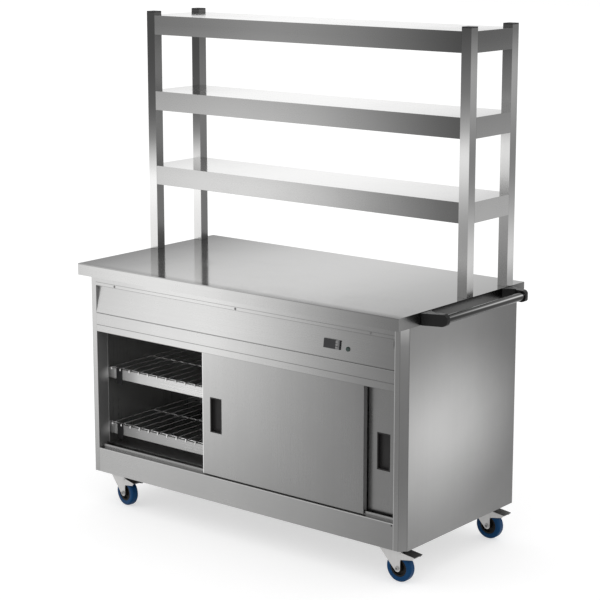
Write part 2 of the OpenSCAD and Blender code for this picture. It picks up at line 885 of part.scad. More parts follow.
// folded tray, open underneath, notched round the four posts
module gantry_shelves() color(steel) about_middle()
    for (i = [0:tiers - 1])
        translate([0, 0, worktop_h + first_tier + i * tier_pitch])
            difference() {
                slab([-end_x, end_x], [gantry_y, gantry_back], [-shelf_face, 0]);
                slab([-end_x + sheet, end_x - sheet], [gantry_y + sheet, gantry_back - sheet],
                    [-shelf_face - past, -sheet]);
                for (x = [-end_x - past, end_x - gantry_post],
                    y = [gantry_y - past, gantry_back - gantry_post])
                    slab([x, x + gantry_post + past], [y, y + gantry_post + past],
                        [-shelf_face - past, past]);
            }

cap_plug = 12;
plug_gap = 0.2;
module post_caps() color(black) about_middle()
    for (x = [-end_x, end_x - gantry_post], y = [gantry_y, gantry_back - gantry_post])
        translate([x, y, gantry_post_top]) {
            slab([0, gantry_post], [0, gantry_post], [0, cap_t]);
            slab([gantry_post_wall + plug_gap, gantry_post - gantry_post_wall - plug_gap],
                [gantry_post_wall + plug_gap, gantry_post - gantry_post_wall - plug_gap],
                [-cap_plug, 0]);
        }

// hexagon bolt, its head below z = 0 and its shank above
head_h = 5.3;
head_r = bolt_r * 1.85;
nut_h = 6.5;
module hex_bolt() {
    translate([0, 0, -head_h])
        cylinder(r = head_r, h = head_h, $fn = 6);
    cylinder(r = bolt_r, h = bolt_l);
}

module nut() {
    difference() {
        cylinder(r = head_r, h = nut_h, $fn = 6);
        translate([0, 0, -past])
            cylinder(r = bolt_r, h = nut_h + 2 * past);
    }
}

module fascia_screw() {
    cylinder(r = screw_head_r, h = screw_head_h);
    translate([0, 0, -screw_l])
        cylinder(r = screw_r, h = screw_l);
}

// bolts of the gantry, handle and castors, and the screws of the fascia
module fasteners() color(steel_dark) about_middle() {
    fascia_screw_places()
        fascia_screw();
    gantry_bolt_places()
        hex_bolt();
    gantry_bolt_places()
        translate([0, 0, worktop_sheet + foot_plate])
            nut();
    handle_bolt_places()
        hex_bolt();
    castor_bolt_places()
        hex_bolt();
    castor_bolt_places()
        translate([0, 0, plate_t + pan_t])
            nut();
}

// ---- push handle

socket_r = handle_tube_d / 2 + socket_wall;
tube_x = end_x + handle_offset;
tube_z = worktop_h - handle_drop;
tube_end = handle_span / 2 - bracket_mouth + socket_depth;
bracket_steps = 6;
module handle_tube() color(steel) about_middle()
    difference() {
        translate([tube_x, handle_shift + tube_end, tube_z])
            rotate([90, 0, 0])
                cylinder(d = handle_tube_d, h = 2 * tube_end);
        translate([tube_x, handle_shift + tube_end + past, tube_z])
            rotate([90, 0, 0])
                cylinder(d = handle_tube_d - 2 * sheet, h = 2 * (tube_end + past));
    }

// plan of a bracket: a foot on the worktop's end and an outer side that slants back to the tube's socket
bracket_out = handle_offset + socket_r;
nose_r = 8;
toe = 6;
heel = [12, 16];
armpit = [12, 10];
slant_angle = atan(bracket_slant / bracket_out);
function bracket_plan() = concat(
    [[0, bracket_foot], [0, 0], [toe, 0]],
    [for (i = [0:bracket_steps])
        let (a = slant_angle + i * (90 - slant_angle) / bracket_steps)
        [bracket_out - nose_r, bracket_slant + nose_r] + nose_r * [sin(a), -cos(a)]],
    [[bracket_out, bracket_mouth], [handle_offset - socket_r, bracket_mouth],
     [handle_offset - socket_r, bracket_mouth] - armpit, [heel[0], bracket_foot - heel[1]]]);
bracket_round = 17;
module bracket() {
    difference() {
        intersection() {
            translate([0, 0, -bracket_h / 2])
                linear_extrude(bracket_h)
                    polygon(bracket_plan());
            along_y([-past, bracket_foot + past])
                polygon(concat([[0, -bracket_h / 2]],
                    [for (a = [0:15:90]) [bracket_out - bracket_round, bracket_round - bracket_h / 2]
                        + bracket_round * [sin(a), -cos(a)]],
                    [for (a = [0:15:90]) [bracket_out - bracket_round, bracket_h / 2 - bracket_round]
                        + bracket_round * [cos(a), sin(a)]],
                    [[0, bracket_h / 2]]));
        }
        translate([handle_offset, bracket_mouth + past, 0])
            rotate([90, 0, 0])
                cylinder(d = handle_tube_d + 2 * socket_gap, h = socket_depth + past);
        for (y = bracket_bolts)
            translate([-past, y, 0])
                rotate([0, 90, 0])
                    cylinder(r = bolt_r + bolt_gap, h = bolt_l);
    }
}

module handle_brackets() color(black) about_middle()
    for (end = [0, 1])
        translate([end_x, handle_shift, tube_z])
            mirror([0, end, 0])
                translate([0, -handle_span / 2, 0])
                    bracket();

// ---- sliding doors

// skin folded back round its edges, slotted below for the guide rib and cut out for the pull
cut_gap = 0.2;
rib_gap = 2;
slot_w = rib_t + 2 * rib_gap;
pull_rim = 3;
pull_wall = 1.5;
pull_lip = 1;
cup_w = pull_w - 2 * pull_rim;
cup_h = pull_h - 2 * pull_rim;
module door_skin(pull_x) {
    difference() {
        slab([0, door_w], [0, door_t - door_sheet], [door_z, door_top]);
        slab([door_sheet, door_w - door_sheet], [door_sheet, door_t],
            [door_z + door_sheet, door_top - door_sheet]);
        translate([pull_x, 0, pull_z])
            cube([cup_w + 2 * cut_gap, through, cup_h + 2 * cut_gap], center = true);
        slab([-past, door_w + past], [door_t / 2 - slot_w / 2, door_t / 2 + slot_w / 2],
            [door_z - past, skirt_top + rib_h + rib_gap]);
    }
}

module door_back() {
    slab([0, door_w], [door_t - door_sheet, door_t], [door_z, door_top]);
}

// recessed pull: a rim on the skin and a cup behind it
module door_pull(x) {
    translate([x, 0, pull_z])
        difference() {
            union() {
                slab([-pull_w / 2, pull_w / 2], [-pull_lip, 0], [-pull_h / 2, pull_h / 2]);
                slab([-cup_w / 2, cup_w / 2], [0, pull_depth + pull_wall - pull_lip],
                    [-cup_h / 2, cup_h / 2]);
            }
            slab([-cup_w / 2 + pull_wall, cup_w / 2 - pull_wall],
                [-pull_lip - past, pull_depth - pull_lip],
                [-cup_h / 2 + pull_wall, cup_h / 2 - pull_wall]);
        }
}

// two nylon hooks over a runner; way is 1 where they reach forwards and -1 backwards
glide_inset = 60;
glide_near = 1;
glide_seat = runner_z + runner_t + glide_gap;
glide_top = glide_seat + glide_head_h;
module door_glides(mid, way) {
    near = mid + way * glide_near;
    far = near + way * glide_leg;
    tip = far - way * glide_head;
    for (x = [glide_inset, door_w - glide_inset - glide_l])
        along_x([x, x + glide_l])
            polygon([[near, door_top], [far, door_top], [far, glide_top], [tip, glide_top],
                [tip, glide_seat], [near, glide_seat]]);
}

pull_x = pull_inset + pull_w / 2;
module outer_door() color(steel) about_middle()
    translate([outer_x, outer_y, 0])
        door_skin(pull_x);
module outer_door_back() color(steel_dark) about_middle()
    translate([outer_x, outer_y, 0])
        door_back();
module outer_door_pull() color(black) about_middle()
    translate([outer_x, outer_y, 0])
        door_pull(pull_x);
module outer_door_glides() color("ivory") about_middle()
    translate([outer_x, 0, 0])
        door_glides(outer_mid, 1);
module inner_door() color(steel) about_middle()
    translate([inner_x, inner_y, 0])
        door_skin(door_w - pull_x);
module inner_door_back() color(steel_dark) about_middle()
    translate([inner_x, inner_y, 0])
        door_back();
module inner_door_pull() color(black) about_middle()
    translate([inner_x, inner_y, 0])
        door_pull(door_w - pull_x);
module inner_door_glides() color("ivory") about_middle()
    translate([inner_x, 0, 0])
        door_glides(inner_mid, -1);

// ---- castors, drawn about the swivel with the wheel trailing along +X

kingpin_head = 4;
module castor_plates() color(steel) about_middle()
    castor_places()
        difference() {
            union() {
                slab([-plate_l / 2, plate_l / 2], [-plate_w / 2, plate_w / 2],
                    [castor_h - plate_t, castor_h]);
                translate([0, 0, race_z])
                    cylinder(r = race_r, h = castor_h - race_z);
                translate([0, 0, fork_top - fork_t - castor_gap])
                    cylinder(r = kingpin_r, h = castor_h - fork_top + fork_t);
                translate([0, 0, fork_top - fork_t - castor_gap - kingpin_head])
                    cylinder(r = kingpin_r + kingpin_head, h = kingpin_head);
            }
            for (x = [-bolt_x / 2, bolt_x / 2], y = [-bolt_y / 2, bolt_y / 2])
                translate([x, y, castor_h])
                    cylinder(r = bolt_r + bolt_gap, h = through, center = true);
        }

// side of the fork as [x, z]: a sloping leg that is round at the axle
leg_round = 12;
crown_edge = 6;
leg_waist = [[12, 26], [15, 40]];
function leg_outline() = concat(
    [[-fork_half, fork_top], [-fork_half, fork_top - crown_edge]],
    [for (a = [215:15:350]) [trail, wheel_r] + leg_round * [cos(a), sin(a)]],
    [for (step = leg_waist) [trail, wheel_r] + step],
    [[fork_tail, fork_top - 2 * crown_edge], [fork_tail, fork_top]]);

axle_nut_h = 4;
axle_nut_r = 8;
rivet_h = 1;
axle_l = 2 * (leg_y + fork_t + axle_nut_h);
module fork() {
    difference() {
        union() {
            slab([-fork_half, fork_tail], [-leg_y - fork_t, leg_y + fork_t], [fork_top - fork_t, fork_top]);
            translate([0, 0, fork_top - fork_t])
                cylinder(r = fork_half, h = fork_t);
            for (y = [-leg_y - fork_t, leg_y])
                along_y([y, y + fork_t])
                    polygon(leg_outline());
        }
        translate([0, 0, fork_top])
            cylinder(r = kingpin_r + running_gap, h = through, center = true);
    }
    translate([pedal_pivot[0], pedal_w / 2 + rivet_h, pedal_pivot[1]])
        rotate([90, 0, 0])
            cylinder(r = pedal_pin_r, h = pedal_w + 2 * rivet_h);
    translate([trail, axle_l / 2, wheel_r])
        rotate([90, 0, 0])
            cylinder(r = axle_r, h = axle_l);
    for (y = [leg_y + fork_t, -leg_y - fork_t - axle_nut_h])
        translate([trail, y + axle_nut_h, wheel_r])
            rotate([90, 0, 0])
                cylinder(r = axle_nut_r, h = axle_nut_h, $fn = 6);
}

// half section of the hub as [r, y]: boss, web and rim
hub_boss_r = 14;
web = 5;
rim = 6;
tyre_edge = 2;
function hub_half(side) = [[axle_r + running_gap, side * (leg_y - castor_gap)],
    [hub_boss_r, side * (leg_y - castor_gap)], [hub_boss_r, side * web], [hub_r - rim, side * web],
    [hub_r - rim, side * (tyre_w / 2 - tyre_edge)], [hub_r, side * (tyre_w / 2 - tyre_edge)]];
module hub() {
    upper = hub_half(1);
    translate([trail, 0, wheel_r])
        rotate([90, 0, 0])
            rotate_extrude()
                polygon(concat(hub_half(-1), [for (i = [len(upper) - 1:-1:0]) upper[i]]));
}

crown = 8;
module tyre() {
    translate([trail, 0, wheel_r])
        rotate([90, 0, 0])
            rotate_extrude()
                polygon(concat([[hub_r, tyre_edge - tyre_w / 2], [hub_r + tyre_edge, -tyre_w / 2]],
                    [for (a = [-90:15:-15]) [wheel_r - crown, crown - tyre_w / 2] + crown * [cos(a), sin(a)]],
                    [[wheel_r, crown - tyre_w / 2], [wheel_r, tyre_w / 2 - crown]],
                    [for (a = [15:15:90]) [wheel_r - crown, tyre_w / 2 - crown] + crown * [cos(a), sin(a)]],
                    [[hub_r + tyre_edge, tyre_w / 2], [hub_r, tyre_w / 2 - tyre_edge]]));
}

// brake pedal as [x, z] about its pin: barrel, shoe over the tyre, sides outside the fork and a tread
pedal_t = 3;
barrel_wall = 3;
shoe = [8, -7];
shoe_outline = [[0, -5], shoe, shoe + [4, 1], [14, 0], [0, 2]];
web_outline = [[0, -4], [13, -3], [13, 2], [0, 4]];
tread_root = [9, 1];
tread_fall = 6;
side_top = [[-7, -14], [-7, 3], [-3, 7], [4, 7]];
side_foot = [[-7, 7], [-56, 16], [-62, 15]];
module pedal() {
    reach = pedal_reach - pedal_pivot[0];
    tread_end = [reach, tread_root[1] - tread_fall];
    inner_half = leg_y - castor_gap;
    translate([pedal_pivot[0], 0, pedal_pivot[1]])
        difference() {
            union() {
                translate([0, inner_half, 0])
                    rotate([90, 0, 0])
                        cylinder(r = pedal_pin_r + barrel_wall, h = 2 * inner_half);
                along_y([-tyre_w / 2, tyre_w / 2])
                    polygon(shoe_outline);
                along_y([-inner_half, inner_half])
                    polygon(web_outline);
                along_y([-pedal_w / 2, pedal_w / 2])
                    polygon([tread_root, tread_end, tread_end + [0, pedal_t], tread_root + [0, pedal_t]]);
                for (y = [-pedal_w / 2, pedal_w / 2 - pedal_side])
                    along_y([y, y + pedal_side])
                        polygon(concat(side_top, [tread_root + [0, pedal_t], tread_end + [0, pedal_t]],
                            [for (step = side_foot) tread_end + [step[0], -step[1]]]));
            }
            rotate([90, 0, 0])
                cylinder(r = pedal_pin_r + running_gap, h = 2 * pedal_w, center = true);
        }
}

module at_castor(x, y, heading) {
    translate([x, y, 0])
        rotate([0, 0, heading])
            children();
}

module front_right() about_middle() at_castor(pivot_x, front_pivot_y, 0) children();
module front_left() about_middle() at_castor(-pivot_x, front_pivot_y, front_left_heading) children();
module rear_right() about_middle() at_castor(pivot_x, rear_pivot_y, 0) children();
module rear_left() about_middle() at_castor(-pivot_x, rear_pivot_y, rear_left_heading) children();

zinc = "#e4e6e8";
tyre_blue = "#14508c";
module front_right_fork() color(zinc) front_right() fork();
module front_right_hub() color(black) front_right() hub();
module front_right_tyre() color(tyre_blue) front_right() tyre();
module front_right_pedal() color(steel_dark) front_right() pedal();
module front_left_fork() color(zinc) front_left() fork();
module front_left_hub() color(black) front_left() hub();
module front_left_tyre() color(tyre_blue) front_left() tyre();
module front_left_pedal() color(steel_dark) front_left() pedal();
module rear_right_fork() color(zinc) rear_right() fork();
module rear_right_hub() color(black) rear_right() hub();
module rear_right_tyre() color(tyre_blue) rear_right() tyre();
module rear_right_pedal() color(steel_dark) rear_right() pedal();
module rear_left_fork() color(zinc) rear_left() fork();
module rear_left_hub() color(black) rear_left() hub();
module rear_left_tyre() color(tyre_blue) rear_left() tyre();
module rear_left_pedal() color(steel_dark) rear_left() pedal();

worktop();
worktop_stiffeners();
side_panels();
back_panel();
front_posts();
control_fascia();
upper_rail();
front_skirt();
base_pan();
chassis_rails();
liner_floor();
liner_sides();
liner_back();
insulation();
upper_door_track();
lower_door_track();
shelf_rails();
shelf_clips();
shelf_grids();
fan_baffle();
fan_motor();
fan_impeller();
heater_element();
controller();
key_up();
key_set();
key_down();
indicator_lamp();
cable_gland();
gantry_posts();
gantry_shelves();
post_caps();
fasteners();
handle_tube();
handle_brackets();
outer_door();
outer_door_back();
outer_door_pull();
outer_door_glides();
inner_door();
inner_door_back();
inner_door_pull();
inner_door_glides();
castor_plates();
front_right_fork();
front_right_hub();
front_right_tyre();
front_right_pedal();
front_left_fork();
front_left_hub();
front_left_tyre();
front_left_pedal();
rear_right_fork();
rear_right_hub();
rear_right_tyre();
rear_right_pedal();
rear_left_fork();
rear_left_hub();
rear_left_tyre();
rear_left_pedal();
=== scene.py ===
import json
import math

import bmesh
import bpy
from mathutils import Matrix, Vector

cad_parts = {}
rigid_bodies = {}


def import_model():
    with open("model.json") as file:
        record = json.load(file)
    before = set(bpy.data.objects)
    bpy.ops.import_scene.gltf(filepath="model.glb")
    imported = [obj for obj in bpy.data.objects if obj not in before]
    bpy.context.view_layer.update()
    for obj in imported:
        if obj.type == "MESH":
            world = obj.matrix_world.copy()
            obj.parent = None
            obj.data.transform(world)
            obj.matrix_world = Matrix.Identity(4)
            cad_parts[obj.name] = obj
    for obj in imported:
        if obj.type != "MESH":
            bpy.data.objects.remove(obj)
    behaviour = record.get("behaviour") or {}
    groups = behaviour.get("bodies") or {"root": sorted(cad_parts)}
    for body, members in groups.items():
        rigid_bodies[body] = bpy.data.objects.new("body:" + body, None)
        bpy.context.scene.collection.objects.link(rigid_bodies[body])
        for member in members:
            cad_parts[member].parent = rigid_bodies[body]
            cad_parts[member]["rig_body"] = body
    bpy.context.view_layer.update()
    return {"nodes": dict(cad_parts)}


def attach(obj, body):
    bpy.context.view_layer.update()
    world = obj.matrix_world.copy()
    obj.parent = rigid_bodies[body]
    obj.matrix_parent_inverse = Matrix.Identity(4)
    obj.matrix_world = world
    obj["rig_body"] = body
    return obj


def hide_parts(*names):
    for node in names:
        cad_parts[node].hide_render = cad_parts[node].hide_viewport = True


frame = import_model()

# Mobile hot cupboard with a three-tier gantry. Metres throughout, in the frame's own axes.
middleX = -0.0415  # the cabinet's middle stands left of the box's middle, because the handle sticks out


def linkObject(name, mesh):
    obj = bpy.data.objects.new(name, mesh)
    bpy.context.scene.collection.objects.link(obj)
    return obj


# short ways to add nodes

def setOrLink(tree, socket, value):
    if hasattr(value, "is_linked"):
        tree.links.new(value, socket)
    else:
        socket.default_value = value


def mathNode(tree, operation, *values, clamp=False):
    node = tree.nodes.new("ShaderNodeMath")
    node.operation = operation
    node.use_clamp = clamp
    for index, value in enumerate(values):
        setOrLink(tree, node.inputs[index], value)
    return node.outputs[0]


def vectorNode(tree, operation, first, second, output=0):
    node = tree.nodes.new("ShaderNodeVectorMath")
    node.operation = operation
    setOrLink(tree, node.inputs[0], first)
    setOrLink(tree, node.inputs["Scale"] if operation == "SCALE" else node.inputs[1], second)
    return node.outputs[output]


def joinAxes(tree, x, y, z):
    node = tree.nodes.new("ShaderNodeCombineXYZ")
    for index, value in enumerate((x, y, z)):
        setOrLink(tree, node.inputs[index], value)
    return node.outputs[0]


def noiseNode(tree, vector, scale, detail, roughness):
    node = tree.nodes.new("ShaderNodeTexNoise")
    node.inputs["Scale"].default_value = scale
    node.inputs["Detail"].default_value = detail
    node.inputs["Roughness"].default_value = roughness
    tree.links.new(vector, node.inputs["Vector"])
    return node.outputs["Fac"]


def rangeNode(tree, value, fromLow, fromHigh, toLow, toHigh, smooth=False):
    node = tree.nodes.new("ShaderNodeMapRange")
    node.interpolation_type = "SMOOTHSTEP" if smooth else "LINEAR"
    node.clamp = True
    for label, item in (("Value", value), ("From Min", fromLow), ("From Max", fromHigh),
                        ("To Min", toLow), ("To Max", toHigh)):
        setOrLink(tree, node.inputs[label], item)
    return node.outputs["Result"]


def mixColour(tree, factor, first, second, blend="MIX"):
    node = tree.nodes.new("ShaderNodeMix")
    node.data_type = "RGBA"
    node.blend_type = blend
    for label, value in (("Factor", factor), ("A", first), ("B", second)):
        socket = [item for item in node.inputs if item.name == label and item.type in ("VALUE", "RGBA")
                  and item.enabled][0]
        setOrLink(tree, socket, value)
    return [item for item in node.outputs if item.enabled][0]


displayGamma = 2.2  # tones are written as light as they look, and nodes take linear light


def grey(tone):
    return (tone ** displayGamma,) * 3 + (1,)


def toneRamp(tree, place, stops):
    # stops are (place 0 to 1, tone there)
    node = tree.nodes.new("ShaderNodeValToRGB")
    node.color_ramp.interpolation = "B_SPLINE"
    elements = node.color_ramp.elements
    while len(elements) < len(stops):
        elements.new(0.5)
    for element, (where, tone) in zip(elements, stops):
        element.position = where
        element.color = grey(tone)
    tree.links.new(place, node.inputs["Fac"])
    return node.outputs["Color"]


# shader groups that several finishes share

def newGroup(name, inputs, outputs):
    group = bpy.data.node_groups.new(name, "ShaderNodeTree")
    kinds = {"vector": "NodeSocketVector", "value": "NodeSocketFloat"}
    for label, kind, value in inputs:
        socket = group.interface.new_socket(label, in_out="INPUT", socket_type=kinds[kind])
        if value is not None:
            socket.default_value = value
    for label in outputs:
        group.interface.new_socket(label, in_out="OUTPUT", socket_type="NodeSocketFloat")
    return group, group.nodes.new("NodeGroupInput"), group.nodes.new("NodeGroupOutput")


def buildSheetPlace():
    # where a point lies on a sheet, 0 to 1 along a direction
    group, start, end = newGroup("sheetPlace", [
        ("Vector", "vector", None), ("Direction", "vector", (1, 0, 0)),
        ("From", "value", 0.0), ("To", "value", 1.0)], ["Place"])
    along = vectorNode(group, "DOT_PRODUCT", start.outputs["Vector"], start.outputs["Direction"], 1)
    place = rangeNode(group, along, start.outputs["From"], start.outputs["To"], 0.0, 1.0)
    group.links.new(place, end.inputs["Place"])
    return group


def buildSoftGlow():
    # a wide soft patch that fades out from its centre, used to paint soft highlights and shadows into a
    # colour, and the dark axle nuts
    group, start, end = newGroup("softGlow", [
        ("Vector", "vector", None), ("Centre", "vector", (0, 0, 0)),
        ("Shrink", "vector", (1, 1, 1))], ["Mask"])
    away = vectorNode(group, "SUBTRACT", start.outputs["Vector"], start.outputs["Centre"])
    away = vectorNode(group, "MULTIPLY", away, start.outputs["Shrink"])
    far = vectorNode(group, "LENGTH", away, (0, 0, 0), 1)
    group.links.new(rangeNode(group, far, 0.0, 1.0, 1.0, 0.0, smooth=True), end.inputs["Mask"])
    return group


def buildThinStripe():
    # a thin line across a sheet, at one place along a direction, used for painted highlights and shade lines
    # along edges and for the controller's lighter strip
    group, start, end = newGroup("thinStripe", [
        ("Vector", "vector", None), ("Direction", "vector", (0, 0, 1)),
        ("Place", "value", 0.0), ("Width", "value", 0.001)], ["Mask"])
    along = vectorNode(group, "DOT_PRODUCT", start.outputs["Vector"], start.outputs["Direction"], 1)
    off = mathNode(group, "ABSOLUTE", mathNode(group, "SUBTRACT", along, start.outputs["Place"]))
    mask = rangeNode(group, off, 0.0, start.outputs["Width"], 1.0, 0.0, smooth=True)
    group.links.new(mask, end.inputs["Mask"])
    return group


grainShape = {"streak": {"scale": 1.0, "detail": 4.0, "roughness": 0.7},
              "band": {"scale": 1.0, "detail": 2.0, "roughness": 0.5}, "bandShare": 0.12}


def buildRolledGrain():
    # fine brush marks: the stretch is small along the grain and large across it
    group, start, end = newGroup("rolledGrain", [
        ("Vector", "vector", None), ("Stretch", "vector", (2, 900, 900))], ["Streak", "Band"])
    fine = vectorNode(group, "MULTIPLY", start.outputs["Vector"], start.outputs["Stretch"])
    group.links.new(noiseNode(group, fine, **grainShape["streak"]), end.inputs["Streak"])
    broad = vectorNode(group, "SCALE", fine, grainShape["bandShare"])
    group.links.new(noiseNode(group, broad, **grainShape["band"]), end.inputs["Band"])
    return group


# haze and scuffs show where their noise lies in or over the range
hazeShape = {"cloud": {"scale": 1.0, "detail": 5.0, "roughness": 0.6}, "cloudRange": (0.35, 0.7),
             "spots": {"scale": 9.0, "detail": 3.0, "roughness": 0.7}, "spotRange": (0.62, 0.72)}


def buildWipedHaze():
    # cloudy wipe marks and a few clearer spots, as on a surface that is cleaned by hand
    group, start, end = newGroup("wipedHaze", [
        ("Vector", "vector", None), ("Size", "value", 6.0)], ["Haze", "Scuff"])
    scaled = vectorNode(group, "SCALE", start.outputs["Vector"], start.outputs["Size"])
    cloud = noiseNode(group, scaled, **hazeShape["cloud"])
    haze = rangeNode(group, cloud, *hazeShape["cloudRange"], 0.0, 1.0, smooth=True)
    group.links.new(haze, end.inputs["Haze"])
    spots = noiseNode(group, scaled, **hazeShape["spots"])
    scuff = rangeNode(group, spots, *hazeShape["spotRange"], 0.0, 1.0)
    group.links.new(scuff, end.inputs["Scuff"])
    return group


skinShape = {"pimple": {"scale": 1.0, "detail": 2.0, "roughness": 0.5},
             "mottle": {"scale": 22.0, "detail": 4.0, "roughness": 0.6}}


def buildMouldedSkin():
    # fine pimpled skin of moulded plastic and rubber, with broad uneven colour
    group, start, end = newGroup("mouldedSkin", [
        ("Vector", "vector", None), ("Grain", "value", 1500.0)], ["Pimple", "Mottle"])
    scaled = vectorNode(group, "SCALE", start.outputs["Vector"], start.outputs["Grain"])
    group.links.new(noiseNode(group, scaled, **skinShape["pimple"]), end.inputs["Pimple"])
    mottle = noiseNode(group, start.outputs["Vector"], **skinShape["mottle"])
    group.links.new(mottle, end.inputs["Mottle"])
    return group


sheetPlace = buildSheetPlace()
softGlow = buildSoftGlow()
thinStripe = buildThinStripe()
rolledGrain = buildRolledGrain()
wipedHaze = buildWipedHaze()
mouldedSkin = buildMouldedSkin()
print("stage: shader groups")


# finishes; the steel ones carry painted reflection and shade in their colour

axisVector = {"x": (1, 0, 0), "y": (0, 1, 0), "z": (0, 0, 1)}
grainStretch = {"x": (2, 700, 700), "y": (700, 2, 700), "z": (700, 700, 2)}


def startMaterial(name):
    material = bpy.data.materials.new(name)
    material.use_nodes = True
    tree = material.node_tree
    place = tree.nodes.new("ShaderNodeTexCoord").outputs["Object"]
    return material, tree, tree.nodes["Principled BSDF"], place


def useGroup(tree, group, place, **values):
    node = tree.nodes.new("ShaderNodeGroup")
    node.node_tree = group
    tree.links.new(place, node.inputs["Vector"])
    for label, value in values.items():
        node.inputs[label].default_value = value
    return node.outputs


def addBump(tree, shader, height, distance, strength):
    bump = tree.nodes.new("ShaderNodeBump")
    bump.inputs["Distance"].default_value = distance
    bump.inputs["Strength"].default_value = strength
    tree.links.new(height, bump.inputs["Height"])
    tree.links.new(bump.outputs["Normal"], shader.inputs["Normal"])


def along(axis):
    return axisVector[axis] if isinstance(axis, str) else axis


# how far brush marks, haze and scuffs change every steel finish
steelWear = {"streakRange": (0.3, 0.7), "bandShare": 0.7, "hazeAdds": -0.02, "scuffTakes": 0.012,
             "roughLess": 0.02, "roughMore": 0.05, "streakRough": 0.03, "bumpDepth": 0.00003}
# what a steel finish has where its own entry names nothing else
usualSteel = {"grain": "x", "haze": 5.0, "marks": 0.012, "tint": (1.0, 0.997, 0.99), "rough": 0.3,
              "metal": 1.0, "edgeTint": 1.0, "bump": 0.12, "glows": (), "lines": ()}


def steelWithPaintedLight(name, spec):
    # the tones are painted reflection and shade: they run along u; low and high are the tones at the two ends
    # of v
    # a glow is (centre, radii, tone): a painted highlight, a painted shadow or, on the forks, a dark axle nut;
    # a line is (axis, place, half its width, tone, amount): a painted highlight or a painted shade line along
    # an edge or groove
    spec = {**usualSteel, **spec}
    material, tree, shader, place = startMaterial(name)
    axis, first, last = spec["u"]
    u = useGroup(tree, sheetPlace, place, Direction=along(axis), From=first, To=last)["Place"]
    colour = toneRamp(tree, u, spec["low"])
    if "high" in spec:
        axis, first, last = spec["v"]
        v = useGroup(tree, sheetPlace, place, Direction=along(axis), From=first, To=last)["Place"]
        colour = mixColour(tree, v, colour, toneRamp(tree, u, spec["high"]))
    for centre, radii, tone in spec["glows"]:
        shrink = tuple(1 / radius for radius in radii)
        mask = useGroup(tree, softGlow, place, Centre=centre, Shrink=shrink)["Mask"]
        colour = mixColour(tree, mask, colour, grey(tone))
    for axis, where, width, tone, amount in spec["lines"]:
        mask = useGroup(tree, thinStripe, place, Direction=along(axis), Place=where, Width=width)["Mask"]
        colour = mixColour(tree, mathNode(tree, "MULTIPLY", mask, amount), colour, grey(tone))
    grain = useGroup(tree, rolledGrain, place, Stretch=grainStretch[spec["grain"]])
    haze = useGroup(tree, wipedHaze, place, Size=spec["haze"])
    low, high = steelWear["streakRange"]
    marks = spec["marks"]
    bandMarks = marks * steelWear["bandShare"]
    wear = mathNode(tree, "ADD", rangeNode(tree, grain["Streak"], low, high, 1 - marks, 1 + marks),
                    rangeNode(tree, grain["Band"], low, high, -bandMarks, bandMarks))
    wear = mathNode(tree, "ADD", wear, mathNode(tree, "MULTIPLY", haze["Haze"], steelWear["hazeAdds"]))
    wear = mathNode(tree, "SUBTRACT", wear, mathNode(tree, "MULTIPLY", haze["Scuff"], steelWear["scuffTakes"]))
    shade = tree.nodes.new("ShaderNodeCombineColor")
    for index, label in enumerate(("Red", "Green", "Blue")):
        tree.links.new(mathNode(tree, "MULTIPLY", wear, spec["tint"][index]), shade.inputs[label])
    colour = mixColour(tree, 1.0, colour, shade.outputs["Color"], "MULTIPLY")
    tree.links.new(colour, shader.inputs["Base Color"])
    hazeRough = rangeNode(tree, haze["Haze"], 0.0, 1.0, spec["rough"] - steelWear["roughLess"],
                          spec["rough"] + steelWear["roughMore"])
    streakRough = rangeNode(tree, grain["Streak"], low, high, -steelWear["streakRough"],
                            steelWear["streakRough"])
    roughness = mathNode(tree, "ADD", hazeRough, streakRough)
    tree.links.new(roughness, shader.inputs["Roughness"])
    shader.inputs["Metallic"].default_value = spec["metal"]
    shader.inputs["Specular Tint"].default_value = (spec["edgeTint"],) * 3 + (1,)
    addBump(tree, shader, grain["Streak"], steelWear["bumpDepth"], spec["bump"])
    return material


# the same two for plastic, rubber and wool
mouldedWear = {"lineSharpness": 3.0, "roughLess": 0.05, "roughMore": 0.08}
usualMoulding = {"grain": 1500.0, "haze": 18.0, "mottle": 0.35, "scuff": 0.2, "rough": 0.5, "gloss": 0.5,
                 "depth": 0.00005, "bump": 0.4, "lines": ()}


def mouldedFinish(name, spec):
    # a line is (axis, place, half its width, colour)
    spec = {**usualMoulding, **spec}
    material, tree, shader, place = startMaterial(name)
    skin = useGroup(tree, mouldedSkin, place, Grain=spec["grain"])
    haze = useGroup(tree, wipedHaze, place, Size=spec["haze"])
    amount = mathNode(tree, "ADD", mathNode(tree, "MULTIPLY", skin["Mottle"], spec["mottle"]),
                      mathNode(tree, "MULTIPLY", haze["Scuff"], spec["scuff"]), clamp=True)
    colour = mixColour(tree, amount, (*spec["colour"], 1), (*spec["worn"], 1))
    for axis, where, width, line in spec["lines"]:
        mask = useGroup(tree, thinStripe, place, Direction=along(axis), Place=where, Width=width)["Mask"]
        mask = mathNode(tree, "MULTIPLY", mask, mouldedWear["lineSharpness"], clamp=True)
        colour = mixColour(tree, mask, colour, (*line, 1))
    tree.links.new(colour, shader.inputs["Base Color"])
    roughness = rangeNode(tree, haze["Haze"], 0.0, 1.0, spec["rough"] - mouldedWear["roughLess"],
                          spec["rough"] + mouldedWear["roughMore"])
    tree.links.new(roughness, shader.inputs["Roughness"])
    shader.inputs["Specular IOR Level"].default_value = spec["gloss"]
    addBump(tree, shader, skin["Pimple"], spec["depth"], spec["bump"])
    return material


alongFront = ("x", middleX - 0.715, middleX + 0.715)
